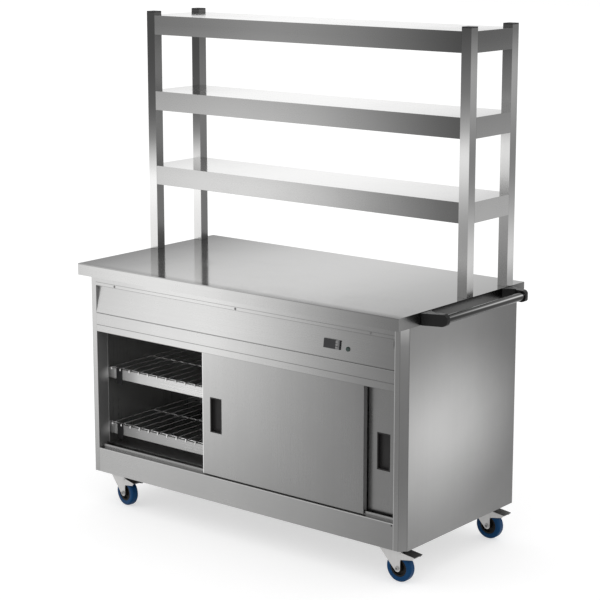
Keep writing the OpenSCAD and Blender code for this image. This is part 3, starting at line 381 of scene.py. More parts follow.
# a castor's place is the middle of its swivel and its heading in degrees; the axle trails behind the middle
castorSpec = {"places": [(0.620, -0.2625, 0), (-0.620, -0.2625, -10), (0.620, 0.2715, 0),
                         (-0.620, 0.2715, 20)],
              "trail": 0.038, "axleHeight": 0.049, "nutOut": 0.025, "nutRadii": (0.010, 0.006, 0.010),
              "nutTone": 0.32}
axleNuts = []
for x, y, heading in castorSpec["places"]:
    ahead = Vector((math.cos(math.radians(heading)), math.sin(math.radians(heading)), 0))
    aside = Vector((-ahead.y, ahead.x, 0))
    axle = Vector((middleX + x, y, castorSpec["axleHeight"])) + castorSpec["trail"] * ahead
    axleNuts += [tuple(axle + side * castorSpec["nutOut"] * aside) for side in (-1, 1)]

steelSpecs = {
    # painted reflection: dark at the left end, lightest in the middle, darker towards the right and the front
    # edge
    "worktopTop": {"u": alongFront, "v": ("y", -0.3675, -0.325),
                   "low": [(0.0, 0.28), (0.1, 0.46), (0.25, 0.58), (0.45, 0.69), (0.6, 0.67), (0.8, 0.50),
                           (1.0, 0.38)],
                   "high": [(0.0, 0.28), (0.08, 0.52), (0.2, 0.72), (0.35, 0.85), (0.55, 0.88), (0.7, 0.84),
                            (0.85, 0.74), (1.0, 0.64)],
                   "rough": 0.12, "marks": 0.005, "bump": 0.06, "edgeTint": 0.75},
    # painted reflection: light on the left, dark towards the right, with a darker line near the top edge
    "worktopFront": {"u": alongFront,
                     "low": [(0.0, 0.76), (0.15, 0.84), (0.4, 0.86), (0.6, 0.76), (0.8, 0.56), (1.0, 0.38)],
                     "rough": 0.26, "lines": [("z", 0.9082, 0.0026, 0.36, 0.6)]},
    # painted reflection and shadow of the handle brackets: darker in bands behind the two brackets
    "worktopEnd": {"u": ("y", -0.3675, 0.3675), "low": [(0.0, 0.47), (0.12, 0.42), (0.22, 0.24), (0.5, 0.36),
                                                        (0.78, 0.26), (0.9, 0.26), (1.0, 0.42)],
                   "grain": "y", "rough": 0.22},
    # painted reflection: light on the left, dark towards the right; the glow is a painted shadow in the gap at
    # the right end, and the lines are painted shade under the top ledge and along the bottom edge
    "fascia": {"u": alongFront, "low": [(0.0, 0.76), (0.2, 0.85), (0.4, 0.87), (0.55, 0.80), (0.75, 0.59),
                                        (0.97, 0.40)],
               "glows": [((middleX + 0.66, -0.33, 0.812), (0.007, 0.04, 0.024), 0.12)],
               "rough": 0.28, "lines": [("z", 0.8404, 0.0016, 0.36, 0.5), ("z", 0.8285, 0.0016, 0.26, 0.6),
                                        ("z", 0.7274, 0.0018, 0.25, 0.7)]},
    # painted reflection: light on the left, dark towards the right; the lines are painted shade in the groove,
    # a faint painted highlight on the top edge and painted shade along the lower edge
    "rail": {"u": alongFront, "low": [(0.0, 0.74), (0.2, 0.83), (0.4, 0.85), (0.55, 0.76), (0.75, 0.58),
                                      (0.97, 0.41)],
             "rough": 0.28, "lines": [("z", 0.6822, 0.0016, 0.30, 0.8), ("z", 0.7236, 0.0012, 0.93, 0.10),
                                      ("z", 0.6575, 0.0018, 0.34, 0.5)]},
    # painted reflection: lighter at the top and on the left, darker towards the right; the line is a painted
    # highlight along the outer door's left edge
    "doorSkin": {"u": alongFront, "v": ("z", 0.219, 0.668),
                 "low": [(0.37, 0.63), (0.5, 0.60), (0.65, 0.54), (0.85, 0.47), (0.95, 0.45)],
                 "high": [(0.37, 0.79), (0.5, 0.71), (0.65, 0.61), (0.85, 0.45), (0.95, 0.42)],
                 "rough": 0.28, "grain": "z", "lines": [("x", middleX - 0.1600, 0.0032, 0.96, 0.9)]},
    "doorEnd": {"u": ("z", 0.219, 0.668), "low": [(0.0, 0.52), (0.5, 0.48), (1.0, 0.50)], "grain": "z",
                "metal": 0.5},
    # painted reflection: lighter on the left, darker towards the right; the line is a painted highlight along
    # the rolled top edge
    "skirt": {"u": alongFront, "low": [(0.0, 0.65), (0.25, 0.68), (0.5, 0.64), (0.75, 0.56), (0.97, 0.47)],
              "rough": 0.30, "lines": [("z", 0.2137, 0.0020, 0.85, 0.5)]},
    # painted light and shade: darker towards the rear and the top, where the worktop shades it, with a broad
    # painted highlight in the middle
    "sidePanel": {"u": ("y", -0.3025, 0.3255), "v": ("z", 0.125, 0.868),
                  "low": [(0.0, 0.54), (0.5, 0.55), (1.0, 0.44)],
                  "high": [(0.0, 0.50), (0.25, 0.51), (0.6, 0.47), (1.0, 0.38)],
                  "glows": [((0.6715, -0.13, 0.49), (1.0, 0.56, 0.36), 0.73)],
                  "grain": "z", "rough": 0.32, "marks": 0.01},
    # painted reflection: the left post lighter and lighter upwards, the right post darker; the lines are a
    # painted highlight along the right post's inner edge and a painted shade line where it meets the chamfer
    "cornerFace": {"u": ("z", 0.125, 0.868), "v": ("x", -0.72, 0.64),
                   "low": [(0.0, 0.58), (0.4, 0.70), (1.0, 0.80)],
                   "high": [(0.0, 0.52), (0.3, 0.44), (0.7, 0.43), (1.0, 0.46)], "grain": "z", "rough": 0.28,
                   "lines": [("x", middleX + 0.6702, 0.0024, 0.82, 0.5),
                             ("x", middleX + 0.6905, 0.0016, 0.25, 0.7)]},
    # painted shade, darker in the middle and lighter at the top end, with a painted shade line along one edge
    "cornerChamfer": {"u": ("z", 0.125, 0.868), "low": [(0.0, 0.50), (0.25, 0.41), (0.6, 0.43), (0.92, 0.44),
                                                        (1.0, 0.66)],
                      "grain": "z", "rough": 0.30, "marks": 0.03,
                      "lines": [("x", middleX + 0.7115, 0.0012, 0.30, 0.5)]},
    # the glows are painted reflections of the two shelf rails, and the line is a painted highlight along an
    # edge
    "cornerReturn": {"u": ("z", 0.125, 0.868), "low": [(0.0, 0.46), (0.25, 0.44), (0.6, 0.48), (1.0, 0.52)],
                     "glows": [((middleX - 0.669, -0.268, 0.487), (0.02, 0.062, 0.036), 0.78),
                               ((middleX - 0.669, -0.268, 0.276), (0.02, 0.062, 0.036), 0.70)],
                     "grain": "z", "rough": 0.34, "metal": 0.25,
                     "lines": [("y", -0.2715, 0.0026, 0.9, 0.85)]},
    # painted reflection: darker at both ends, light in the middle
    "shelfTop": {"u": alongFront, "low": [(0.0, 0.75), (0.12, 0.87), (0.3, 0.94), (0.55, 0.94), (0.75, 0.86),
                                          (0.9, 0.80), (1.0, 0.64)],
                 "rough": 0.12, "marks": 0.005, "bump": 0.06},
    # painted reflection: the lower shelf fronts lighter than the upper ones, all darkening towards the right
    # end
    "shelfFront": {"u": alongFront, "v": ("z", 1.19, 1.75),
                   "low": [(0.0, 0.76), (0.2, 0.81), (0.4, 0.82), (0.6, 0.70), (0.8, 0.50), (1.0, 0.33)],
                   "high": [(0.0, 0.43), (0.2, 0.47), (0.4, 0.53), (0.6, 0.50), (0.8, 0.40), (1.0, 0.25)],
                   "rough": 0.26, "marks": 0.005, "bump": 0.04},
    # painted shade: darker towards the top
    "shelfEnd": {"u": ("z", 1.15, 1.79), "grain": "y", "rough": 0.26,
                 "low": [(0.0, 0.62), (0.15, 0.61), (0.5, 0.49), (0.9, 0.35), (1.0, 0.33)]},
    # painted reflections: bright and dark bands up the gantry posts' fronts, different on the left and right
    # posts
    "postFront": {"u": ((-0.093, 0, 1), 0.93, 1.78), "v": ("x", -0.74, 0.66),
                  "low": [(0.0, 0.84), (0.2, 0.87), (0.34, 0.97), (0.42, 0.90), (0.55, 0.40), (0.75, 0.31),
                          (1.0, 0.27)],
                  "high": [(0.0, 0.64), (0.15, 0.52), (0.3, 0.66), (0.46, 0.92), (0.56, 0.58), (0.7, 0.44),
                           (1.0, 0.20)],
                  "grain": "z", "rough": 0.22},
    # painted reflections: bright and dark bands up the gantry posts' sides
    "postSide": {"u": ("z", 0.93, 1.78), "v": ("x", -0.70, 0.67),
                 "low": [(0.0, 0.42), (0.4, 0.42), (0.55, 0.44), (0.8, 0.42), (1.0, 0.34)],
                 "high": [(0.0, 0.52), (0.1, 0.82), (0.25, 0.64), (0.42, 0.44), (0.6, 0.46), (0.85, 0.64),
                          (1.0, 0.32)],
                 "grain": "z", "rough": 0.22},
    # painted sheen: lighter in the middle and towards the top
    "backSheet": {"u": alongFront, "v": ("z", 0.125, 0.868), "low": [(0.0, 0.60), (0.5, 0.68), (1.0, 0.60)],
                  "high": [(0.0, 0.66), (0.5, 0.76), (1.0, 0.66)], "rough": 0.34},
    # darker than the outer steel: painted shade under things and on hidden backs
    "underSheet": {"u": alongFront, "low": [(0.0, 0.52), (0.5, 0.56), (1.0, 0.50)], "rough": 0.38},
    # darker than the outer steel: painted shade inside the cupboard
    "cavitySheet": {"u": alongFront, "low": [(0.0, 0.50), (0.5, 0.54), (1.0, 0.50)], "rough": 0.30,
                    "metal": 0.7},
    "cavityWall": {"u": ("z", 0.216, 0.69), "low": [(0.0, 0.54), (0.5, 0.56), (1.0, 0.56)], "grain": "z",
                   "rough": 0.30, "metal": 0.6},
    # painted reflection: light at the very left end, a dark band just after it, then lighter towards the right
    # and on the upper rail
    "shelfRail": {"u": alongFront, "v": ("z", 0.30, 0.46),
                  "low": [(0.0, 0.86), (0.04, 0.86), (0.075, 0.54), (0.10, 0.50), (0.13, 0.58), (0.3, 0.70),
                          (1.0, 0.76)],
                  "high": [(0.0, 0.90), (0.04, 0.90), (0.075, 0.62), (0.10, 0.56), (0.13, 0.76), (0.3, 0.88),
                           (1.0, 0.92)], "rough": 0.24, "metal": 0.6},
    "wire": {"u": ("y", -0.26, 0.26), "low": [(0.0, 0.96), (0.3, 0.93), (1.0, 0.94)], "grain": "y",
             "rough": 0.2, "bump": 0.1, "metal": 0.8},
    # painted reflection: a dark tube with a narrow painted highlight along its upper part, brightest at the
    # far end
    "polishedTube": {"u": ("z", 0.874, 0.902), "v": ("y", -0.2, 0.22),
                     "low": [(0.0, 0.24), (0.3, 0.14), (0.6, 0.15), (0.70, 0.22), (0.77, 0.58), (0.84, 0.18),
                             (1.0, 0.16)],
                     "high": [(0.0, 0.22), (0.3, 0.14), (0.58, 0.16), (0.70, 0.42), (0.77, 1.0), (0.84, 0.30),
                              (1.0, 0.14)],
                     "grain": "y", "rough": 0.14, "bump": 0.05, "metal": 0.9},
    "trackSteel": {"u": alongFront, "low": [(0.0, 0.56), (0.5, 0.60), (1.0, 0.52)], "rough": 0.28},
    "zincPlate": {"u": ("z", 0.03, 0.13), "low": [(0.0, 0.72), (0.35, 0.76), (0.7, 0.74), (1.0, 0.68)],
                  "grain": "z", "rough": 0.36,
                  "glows": [(nut, castorSpec["nutRadii"], castorSpec["nutTone"]) for nut in axleNuts],
                  "tint": (1.0, 0.99, 0.98), "haze": 30.0, "marks": 0.04},
    "boltSteel": {"u": ("z", 0.1, 0.95), "low": [(0.0, 0.52), (1.0, 0.50)], "grain": "z", "rough": 0.35,
                  "haze": 40.0},
    "pedalSteel": {"u": ("z", 0.085, 0.112), "low": [(0.0, 0.30), (0.6, 0.33), (1.0, 0.42)], "rough": 0.42,
                   "haze": 30.0, "marks": 0.05},
    "motorSteel": {"u": ("z", 0.65, 0.76), "low": [(0.0, 0.50), (1.0, 0.45)], "grain": "z", "rough": 0.45},
    "heaterSheath": {"u": ("x", -0.15, 0.1), "low": [(0.0, 0.34), (0.5, 0.42), (1.0, 0.34)], "rough": 0.5,
                     "tint": (1.0, 0.92, 0.84)},
    "keySilver": {"u": ("z", 0.75, 0.80), "low": [(0.0, 0.48), (1.0, 0.54)], "rough": 0.35},
}
mouldedSpecs = {
    "blackPlastic": {"colour": (0.009, 0.009, 0.009), "worn": (0.016, 0.016, 0.016),
                     "rough": 0.42, "gloss": 0.15,
                     # the line is a painted highlight along the handle brackets' top edge
                     "lines": [("z", 0.9082, 0.0009, (0.10, 0.10, 0.10))]},
    "pullPlastic": {"colour": (0.018, 0.017, 0.017), "worn": (0.028, 0.027, 0.027),
                    "rough": 0.45, "gloss": 0.22},
    "capPlastic": {"colour": (0.010, 0.010, 0.011), "worn": (0.02, 0.02, 0.02), "rough": 0.5, "gloss": 0.25},
    "hubPlastic": {"colour": (0.010, 0.009, 0.008), "worn": (0.022, 0.020, 0.017),
                   "rough": 0.5, "gloss": 0.15},
    "clipPlastic": {"colour": (0.014, 0.014, 0.015), "worn": (0.026, 0.026, 0.026),
                    "rough": 0.5, "gloss": 0.2},
    "controllerFace": {"colour": (0.026, 0.026, 0.028), "worn": (0.036, 0.036, 0.038),
                       "rough": 0.4, "gloss": 0.3, "mottle": 0.3, "scuff": 0.1, "bump": 0.1,
                       "lines": [("x", middleX + 0.4378, 0.0088, (0.25, 0.25, 0.255))]},
    "blueRubber": {"colour": (0.002, 0.040, 0.125), "worn": (0.006, 0.075, 0.19), "rough": 0.42,
                   "mottle": 0.5, "scuff": 0.35, "depth": 0.0001, "gloss": 0.14},
    "nylonWhite": {"colour": (0.70, 0.68, 0.60), "worn": (0.60, 0.57, 0.48), "rough": 0.4},
    "mineralWool": {"colour": (0.62, 0.55, 0.30), "worn": (0.45, 0.38, 0.20), "rough": 0.95,
                    "grain": 300.0, "depth": 0.0015, "bump": 1.0, "mottle": 0.8},
    "lensGreen": {"colour": (0.005, 0.022, 0.017), "worn": (0.008, 0.042, 0.031), "rough": 0.15,
                  "mottle": 0.5, "scuff": 0.0, "bump": 0.05},
}
finishes = {name: steelWithPaintedLight(name, spec) for name, spec in steelSpecs.items()}
finishes.update({name: mouldedFinish(name, spec) for name, spec in mouldedSpecs.items()})
print("stage: finishes", len(finishes))


# sheet pieces: bevelled copies of the nodes, with a finish for each way that a face looks; on the worktop,
# posts, shelves and doors these are lit and shaded tones of one steel, so the faces carry painted light and
# shade

cornerNames = ("front_right", "front_left", "rear_right", "rear_left")


def camel(words):
    # front_right_fork becomes frontRightFork
    first, *rest = words.split("_")
    return first + "".join(word.capitalize() for word in rest)


# weld and bevel settings; a face is square on when so much of its normal lies along one axis
edgeSpec = {"weld": 0.00001, "flat": math.radians(0.4), "sharp": math.radians(30),
            "bevelFrom": math.radians(40), "squareOn": 0.93}


def facing(normal):
    # the way that a face looks: x+, x-, y+, y-, z+, z- or slope
    size = [abs(value) for value in normal]
    axis = size.index(max(size))
    if size[axis] < edgeSpec["squareOn"]:
        return "slope"
    return "xyz"[axis] + ("+" if normal[axis] > 0 else "-")


def rideAndReplace(piece, body, node):
    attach(piece, body)
    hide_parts(node)


def softenPiece(name, node, byFacing, width, segments):
    mesh = frame["nodes"][node].data.copy()
    mesh.name = name
    shape = bmesh.new()
    shape.from_mesh(mesh)
    bmesh.ops.remove_doubles(shape, verts=shape.verts, dist=edgeSpec["weld"])
    bmesh.ops.dissolve_limit(shape, angle_limit=edgeSpec["flat"], verts=shape.verts, edges=shape.edges)
    names = sorted(set(byFacing.values()))
    mesh.materials.clear()
    for finish in names:
        mesh.materials.append(finishes[finish])
    for face in shape.faces:
        face.material_index = names.index(byFacing.get(facing(face.normal), byFacing["other"]))
        face.smooth = True
    for edge in shape.edges:
        if len(edge.link_faces) == 2:
            edge.smooth = edge.calc_face_angle(0) < edgeSpec["sharp"]
    shape.to_mesh(mesh)
    shape.free()
    piece = linkObject(name, mesh)
    bevel = piece.modifiers.new("edges", "BEVEL")
    bevel.width = width
    bevel.segments = segments
    bevel.limit_method = "ANGLE"
    bevel.angle_limit = edgeSpec["bevelFrom"]
    bevel.harden_normals = True
    rideAndReplace(piece, frame["nodes"][node]["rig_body"], node)


# node: (finish for each way a face looks, bevel width, bevel segments)
softenedNodes = {
    "worktop": ({"z+": "worktopTop", "y-": "worktopFront", "x+": "worktopEnd", "x-": "worktopEnd",
                 "y+": "backSheet", "other": "underSheet"}, 0.0010, 3),
    "control_fascia": ({"other": "fascia"}, 0.0006, 2),
    "upper_rail": ({"other": "rail"}, 0.0002, 1),
    "front_skirt": ({"other": "skirt"}, 0.0006, 2),
    "side_panels": ({"other": "sidePanel"}, 0.0005, 2),
    "front_posts": ({"y-": "cornerFace", "slope": "cornerChamfer", "x+": "cornerReturn", "x-": "cornerReturn",
                     "other": "cornerFace"}, 0.0006, 2),
    "gantry_shelves": ({"z+": "shelfTop", "y-": "shelfFront", "y+": "shelfFront", "x+": "shelfEnd",
                        "x-": "shelfEnd", "other": "underSheet"}, 0.0008, 3),
    "gantry_posts": ({"y-": "postFront", "y+": "postFront", "other": "postSide"}, 0.0015, 3),
    "post_caps": ({"other": "capPlastic"}, 0.0008, 3),
    "lower_door_track": ({"other": "trackSteel"}, 0.0005, 2),
    "outer_door": ({"x+": "doorEnd", "x-": "doorSkin", "other": "doorSkin"}, 0.0006, 2),
    "inner_door": ({"other": "doorSkin"}, 0.0006, 2),
    "outer_door_pull": ({"other": "pullPlastic"}, 0.0008, 3),
    "inner_door_pull": ({"other": "pullPlastic"}, 0.0008, 3),
    "shelf_rails": ({"other": "shelfRail"}, 0.0004, 2),
    "shelf_clips": ({"other": "clipPlastic"}, 0.0005, 2),
    "handle_brackets": ({"other": "blackPlastic"}, 0.0015, 3),
    "controller": ({"other": "controllerFace"}, 0.0010, 3),
    "key_up": ({"other": "keySilver"}, 0.0006, 3),
    "key_set": ({"other": "keySilver"}, 0.0006, 3),
    "key_down": ({"other": "keySilver"}, 0.0006, 3),
    "castor_plates": ({"other": "zincPlate"}, 0.0005, 2),
}
for corner in cornerNames:
    softenedNodes[corner + "_fork"] = ({"other": "zincPlate"}, 0.0004, 2)
    softenedNodes[corner + "_pedal"] = ({"y-": "zincPlate", "y+": "zincPlate", "other": "pedalSteel"},
                                        0.0003, 2)
for node, (byFacing, width, segments) in softenedNodes.items():
    softenPiece(camel(node) + "Soft", node, byFacing, width, segments)
print("stage: softened pieces", len(softenedNodes))

plainNodes = {
    "backSheet": ["back_panel"],
    "underSheet": ["worktop_stiffeners", "base_pan", "chassis_rails", "upper_door_track", "outer_door_back",
                   "inner_door_back"],
    "cavitySheet": ["liner_floor", "fan_baffle"],
    "cavityWall": ["liner_sides", "liner_back"],
    "polishedTube": ["handle_tube"],
    "motorSteel": ["fan_motor", "fan_impeller"],
    "heaterSheath": ["heater_element"],
    "mineralWool": ["insulation"],
    "nylonWhite": ["outer_door_glides", "inner_door_glides"],
    "lensGreen": ["indicator_lamp"],
    "blackPlastic": ["cable_gland"],
    "hubPlastic": [corner + "_hub" for corner in cornerNames],
    "blueRubber": [corner + "_tyre" for corner in cornerNames],
}
for finish, nodes in plainNodes.items():
    for node in nodes:
        data = frame["nodes"][node].data
        data.materials.clear()
        data.materials.append(finishes[finish])
print("stage: plain nodes dressed")


# Geometry Nodes trees for what repeats

def newTree(name, inputs):
    tree = bpy.data.node_groups.new(name, "GeometryNodeTree")
    kinds = {"value": "NodeSocketFloat", "count": "NodeSocketInt", "vector": "NodeSocketVector",
             "material": "NodeSocketMaterial"}
    tree.interface.new_socket("Geometry", in_out="INPUT", socket_type="NodeSocketGeometry")
    for label, kind in inputs:
        tree.interface.new_socket(label, in_out="INPUT", socket_type=kinds[kind])
    tree.interface.new_socket("Geometry", in_out="OUTPUT", socket_type="NodeSocketGeometry")
    return tree, tree.nodes.new("NodeGroupInput"), tree.nodes.new("NodeGroupOutput")


def geoNode(tree, kind, settings=None, **values):
    node = tree.nodes.new(kind)
    for label, value in (settings or {}).items():
        setattr(node, label, value)
    for label, value in values.items():
        setOrLink(tree, node.inputs[label.replace("_", " ")], value)
    return node


def joinParts(tree, parts):
    node = tree.nodes.new("GeometryNodeJoinGeometry")
    for part in parts:
        tree.links.new(part, node.inputs[0])
    return node.outputs[0]


def finishTree(tree, start, end, geometry):
    # real geometry with its finish, ready to be copied out
    real = geoNode(tree, "GeometryNodeRealizeInstances", Geometry=geometry)
    coated = geoNode(tree, "GeometryNodeSetMaterial", Geometry=real.outputs[0],
                     Material=start.outputs["Finish"])
    tree.links.new(coated.outputs[0], end.inputs[0])


def bakeTree(name, tree, values, points=()):
    # points, where given, are the places that the tree repeats its piece at
    seed = bpy.data.meshes.new(name + "Places")
    seed.from_pydata([tuple(point) for point in points], [], [])
    holder = linkObject(name + "Holder", seed)
    modifier = holder.modifiers.new("repeat", "NODES")
    modifier.node_group = tree
    for item in tree.interface.items_tree:
        if item.item_type == "SOCKET" and item.in_out == "INPUT" and item.name in values:
            modifier[item.identifier] = values[item.name]
    bpy.context.view_layer.update()
    made = bpy.data.meshes.new_from_object(holder.evaluated_get(bpy.context.evaluated_depsgraph_get()))
    holder.modifiers.clear()
    bpy.data.objects.remove(holder)
    made.name = name
    return linkObject(name, made)


def buildWireShelf():
    # long rods side by side with their ends bent down over the rails, and cross rods under them
    tree, start, end = newTree("wireShelf", [
        ("Rods", "count"), ("Pitch", "value"), ("Rod Radius", "value"), ("Rod Length", "value"),
        ("Hook", "value"), ("Cross Radius", "value"), ("Cross Length", "value"), ("Finish", "material")])
    half = mathNode(tree, "MULTIPLY", start.outputs["Rod Length"], 0.5)
    hookDown = mathNode(tree, "MULTIPLY", start.outputs["Hook"], -1.0)
    profile = geoNode(tree, "GeometryNodeCurvePrimitiveCircle", Resolution=8,
                      Radius=start.outputs["Rod Radius"])
    pieces = []
    run = geoNode(tree, "GeometryNodeCurvePrimitiveLine",
                  Start=joinAxes(tree, 0.0, mathNode(tree, "MULTIPLY", half, -1.0), 0.0),
                  End=joinAxes(tree, 0.0, half, 0.0))
    pieces.append(run.outputs[0])
    for sign in (-1.0, 1.0):
        edge = mathNode(tree, "MULTIPLY", half, sign)
        hook = geoNode(tree, "GeometryNodeCurvePrimitiveLine", Start=joinAxes(tree, 0.0, edge, 0.0),
                       End=joinAxes(tree, 0.0, edge, hookDown))
        pieces.append(hook.outputs[0])
    rod = geoNode(tree, "GeometryNodeCurveToMesh", Curve=joinParts(tree, pieces),
                  Profile_Curve=profile.outputs[0], Fill_Caps=True)
    gaps = mathNode(tree, "SUBTRACT", start.outputs["Rods"], 1.0)
    width = mathNode(tree, "MULTIPLY", gaps, start.outputs["Pitch"])
    places = geoNode(tree, "GeometryNodeMeshLine", Count=start.outputs["Rods"],
                     Start_Location=joinAxes(tree, mathNode(tree, "MULTIPLY", width, -0.5), 0.0, 0.0),
                     Offset=joinAxes(tree, start.outputs["Pitch"], 0.0, 0.0))
    rods = geoNode(tree, "GeometryNodeInstanceOnPoints", Points=places.outputs[0], Instance=rod.outputs[0])
    crossHalf = mathNode(tree, "MULTIPLY", start.outputs["Cross Length"], 0.5)
    crossProfile = geoNode(tree, "GeometryNodeCurvePrimitiveCircle", Resolution=10,
                           Radius=start.outputs["Cross Radius"])
    crossRun = geoNode(tree, "GeometryNodeCurvePrimitiveLine",
                       Start=joinAxes(tree, mathNode(tree, "MULTIPLY", crossHalf, -1.0), 0.0, 0.0),
                       End=joinAxes(tree, crossHalf, 0.0, 0.0))
    cross = geoNode(tree, "GeometryNodeCurveToMesh", Curve=crossRun.outputs[0],
                    Profile_Curve=crossProfile.outputs[0], Fill_Caps=True)
    crosses = geoNode(tree, "GeometryNodeInstanceOnPoints", Points=start.outputs["Geometry"],
                      Instance=cross.outputs[0])
    finishTree(tree, start, end, joinParts(tree, [rods.outputs[0], crosses.outputs[0]]))
    return tree


# the bolt's smaller forms: washer and crown as shares of the head, and the sides of each round
boltShape = {"washer": 1.12, "washerHeight": 0.0008, "crown": 0.82, "crownRise": -1.06, "hexSides": 6,
             "washerSides": 24, "crownSides": 20, "shankSides": 14}


def buildHexBolt():
    # a hexagon head with a washer, a shank and a nut, repeated at each place
    tree, start, end = newTree("hexBolt", [
        ("Head Radius", "value"), ("Head Height", "value"), ("Shank Radius", "value"),
        ("Shank Length", "value"), ("Nut Height", "value"), ("Nut Place", "value"), ("Turn", "vector"),
        ("Finish", "material")])

    def rod(radius, length, low, sides):
        # stands on height low
        shape = geoNode(tree, "GeometryNodeMeshCylinder", Vertices=sides, Radius=radius, Depth=length)
        lift = mathNode(tree, "ADD", mathNode(tree, "MULTIPLY", length, 0.5), low)
        return geoNode(tree, "GeometryNodeTransform", Geometry=shape.outputs[0],
                       Translation=joinAxes(tree, 0.0, 0.0, lift)).outputs[0]

    headDown = mathNode(tree, "MULTIPLY", start.outputs["Head Height"], -1.0)
    washer = mathNode(tree, "MULTIPLY", start.outputs["Head Radius"], boltShape["washer"])
    crownLow = mathNode(tree, "MULTIPLY", start.outputs["Head Height"], boltShape["crownRise"])
    crown = mathNode(tree, "MULTIPLY", start.outputs["Head Radius"], boltShape["crown"])
    parts = [rod(start.outputs["Head Radius"], start.outputs["Head Height"], headDown, boltShape["hexSides"]),
             rod(washer, boltShape["washerHeight"], -boltShape["washerHeight"], boltShape["washerSides"]),
             rod(crown, start.outputs["Head Height"], crownLow, boltShape["crownSides"]),
             rod(start.outputs["Shank Radius"], start.outputs["Shank Length"], 0.0, boltShape["shankSides"]),
             rod(start.outputs["Head Radius"], start.outputs["Nut Height"], start.outputs["Nut Place"],
                 boltShape["hexSides"])]
    turned = geoNode(tree, "GeometryNodeTransform", Geometry=joinParts(tree, parts),
                     Rotation=start.outputs["Turn"])
    many = geoNode(tree, "GeometryNodeInstanceOnPoints", Points=start.outputs["Geometry"],
                   Instance=turned.outputs[0])
    finishTree(tree, start, end, many.outputs[0])
    return tree


# the cross reaches past the head, so that its slots run out over the edge
screwShape = {"slotReach": 1.1, "slotHeight": 1.2, "headSegments": 24, "headRings": 12, "shankSides": 12}


def buildCrossScrew():
    # a domed screw head with a cross cut into it, repeated along a row
    tree, start, end = newTree("crossScrew", [
        ("Head Radius", "value"), ("Head Height", "value"), ("Cross Width", "value"),
        ("Shank Radius", "value"), ("Shank Length", "value"), ("Turn", "vector"), ("Finish", "material")])
    dome = geoNode(tree, "GeometryNodeMeshUVSphere", Segments=screwShape["headSegments"],
                   Rings=screwShape["headRings"], Radius=start.outputs["Head Radius"])
    flat = mathNode(tree, "DIVIDE", start.outputs["Head Height"], start.outputs["Head Radius"])
    dome = geoNode(tree, "GeometryNodeTransform", Geometry=dome.outputs[0],
                   Scale=joinAxes(tree, 1.0, 1.0, flat))
    reach = mathNode(tree, "MULTIPLY", start.outputs["Head Radius"], screwShape["slotReach"])
    deep = mathNode(tree, "MULTIPLY", start.outputs["Head Height"], screwShape["slotHeight"])
    bars = []
    for size in ((reach, start.outputs["Cross Width"]), (start.outputs["Cross Width"], reach)):
        bar = geoNode(tree, "GeometryNodeMeshCube", Size=joinAxes(tree, size[0], size[1], deep))
        bars.append(geoNode(tree, "GeometryNodeTransform", Geometry=bar.outputs[0],
                            Translation=joinAxes(tree, 0.0, 0.0, start.outputs["Head Height"])).outputs[0])
    cut = geoNode(tree, "GeometryNodeMeshBoolean", {"operation": "DIFFERENCE", "solver": "EXACT"})
    tree.links.new(dome.outputs[0], cut.inputs["Mesh 1"])
    for bar in bars:
        tree.links.new(bar, cut.inputs["Mesh 2"])
    shank = geoNode(tree, "GeometryNodeMeshCylinder", Vertices=screwShape["shankSides"],
                    Radius=start.outputs["Shank Radius"], Depth=start.outputs["Shank Length"])
    sink = mathNode(tree, "MULTIPLY", start.outputs["Shank Length"], -0.5)
    shank = geoNode(tree, "GeometryNodeTransform", Geometry=shank.outputs[0],
                    Translation=joinAxes(tree, 0.0, 0.0, sink))
    screw = joinParts(tree, [cut.outputs[0], shank.outputs[0]])
    turned = geoNode(tree, "GeometryNodeTransform", Geometry=screw, Rotation=start.outputs["Turn"])
    many = geoNode(tree, "GeometryNodeInstanceOnPoints", Points=start.outputs["Geometry"],
                   Instance=turned.outputs[0])
    finishTree(tree, start, end, many.outputs[0])
    return tree


wireShelfTree = buildWireShelf()
shelfSpec = {"rods": 15, "pitch": 0.046, "rodRadius": 0.0025, "rodLength": 0.514, "hook": 0.007,
             "crossRadius": 0.003, "crossLength": 0.6885, "crossPlaces": (-0.237, -0.025, 0.237),
             "weldDepth": 0.0005, "levels": (0.295, 0.506), "centres": (-0.34525, 0.34525)}
crossLow = shelfSpec["weldDepth"] - shelfSpec["rodRadius"] - shelfSpec["crossRadius"]
for levelName, level in zip(("Lower", "Upper"), shelfSpec["levels"]):
    for sideName, centre in zip(("Left", "Right"), shelfSpec["centres"]):
        crosses = [(0, y, crossLow) for y in shelfSpec["crossPlaces"]]
        grid = bakeTree("wireShelf" + levelName + sideName, wireShelfTree, {
            "Rods": shelfSpec["rods"], "Pitch": shelfSpec["pitch"], "Rod Radius": shelfSpec["rodRadius"],
            "Rod Length": shelfSpec["rodLength"], "Hook": shelfSpec["hook"],
            "Cross Radius": shelfSpec["crossRadius"], "Cross Length": shelfSpec["crossLength"],
            "Finish": finishes["wire"]}, crosses)
        grid.data.transform(Matrix.Translation((middleX + centre, 0, level + shelfSpec["rodRadius"])))
        rideAndReplace(grid, "cabinet", "shelf_grids")

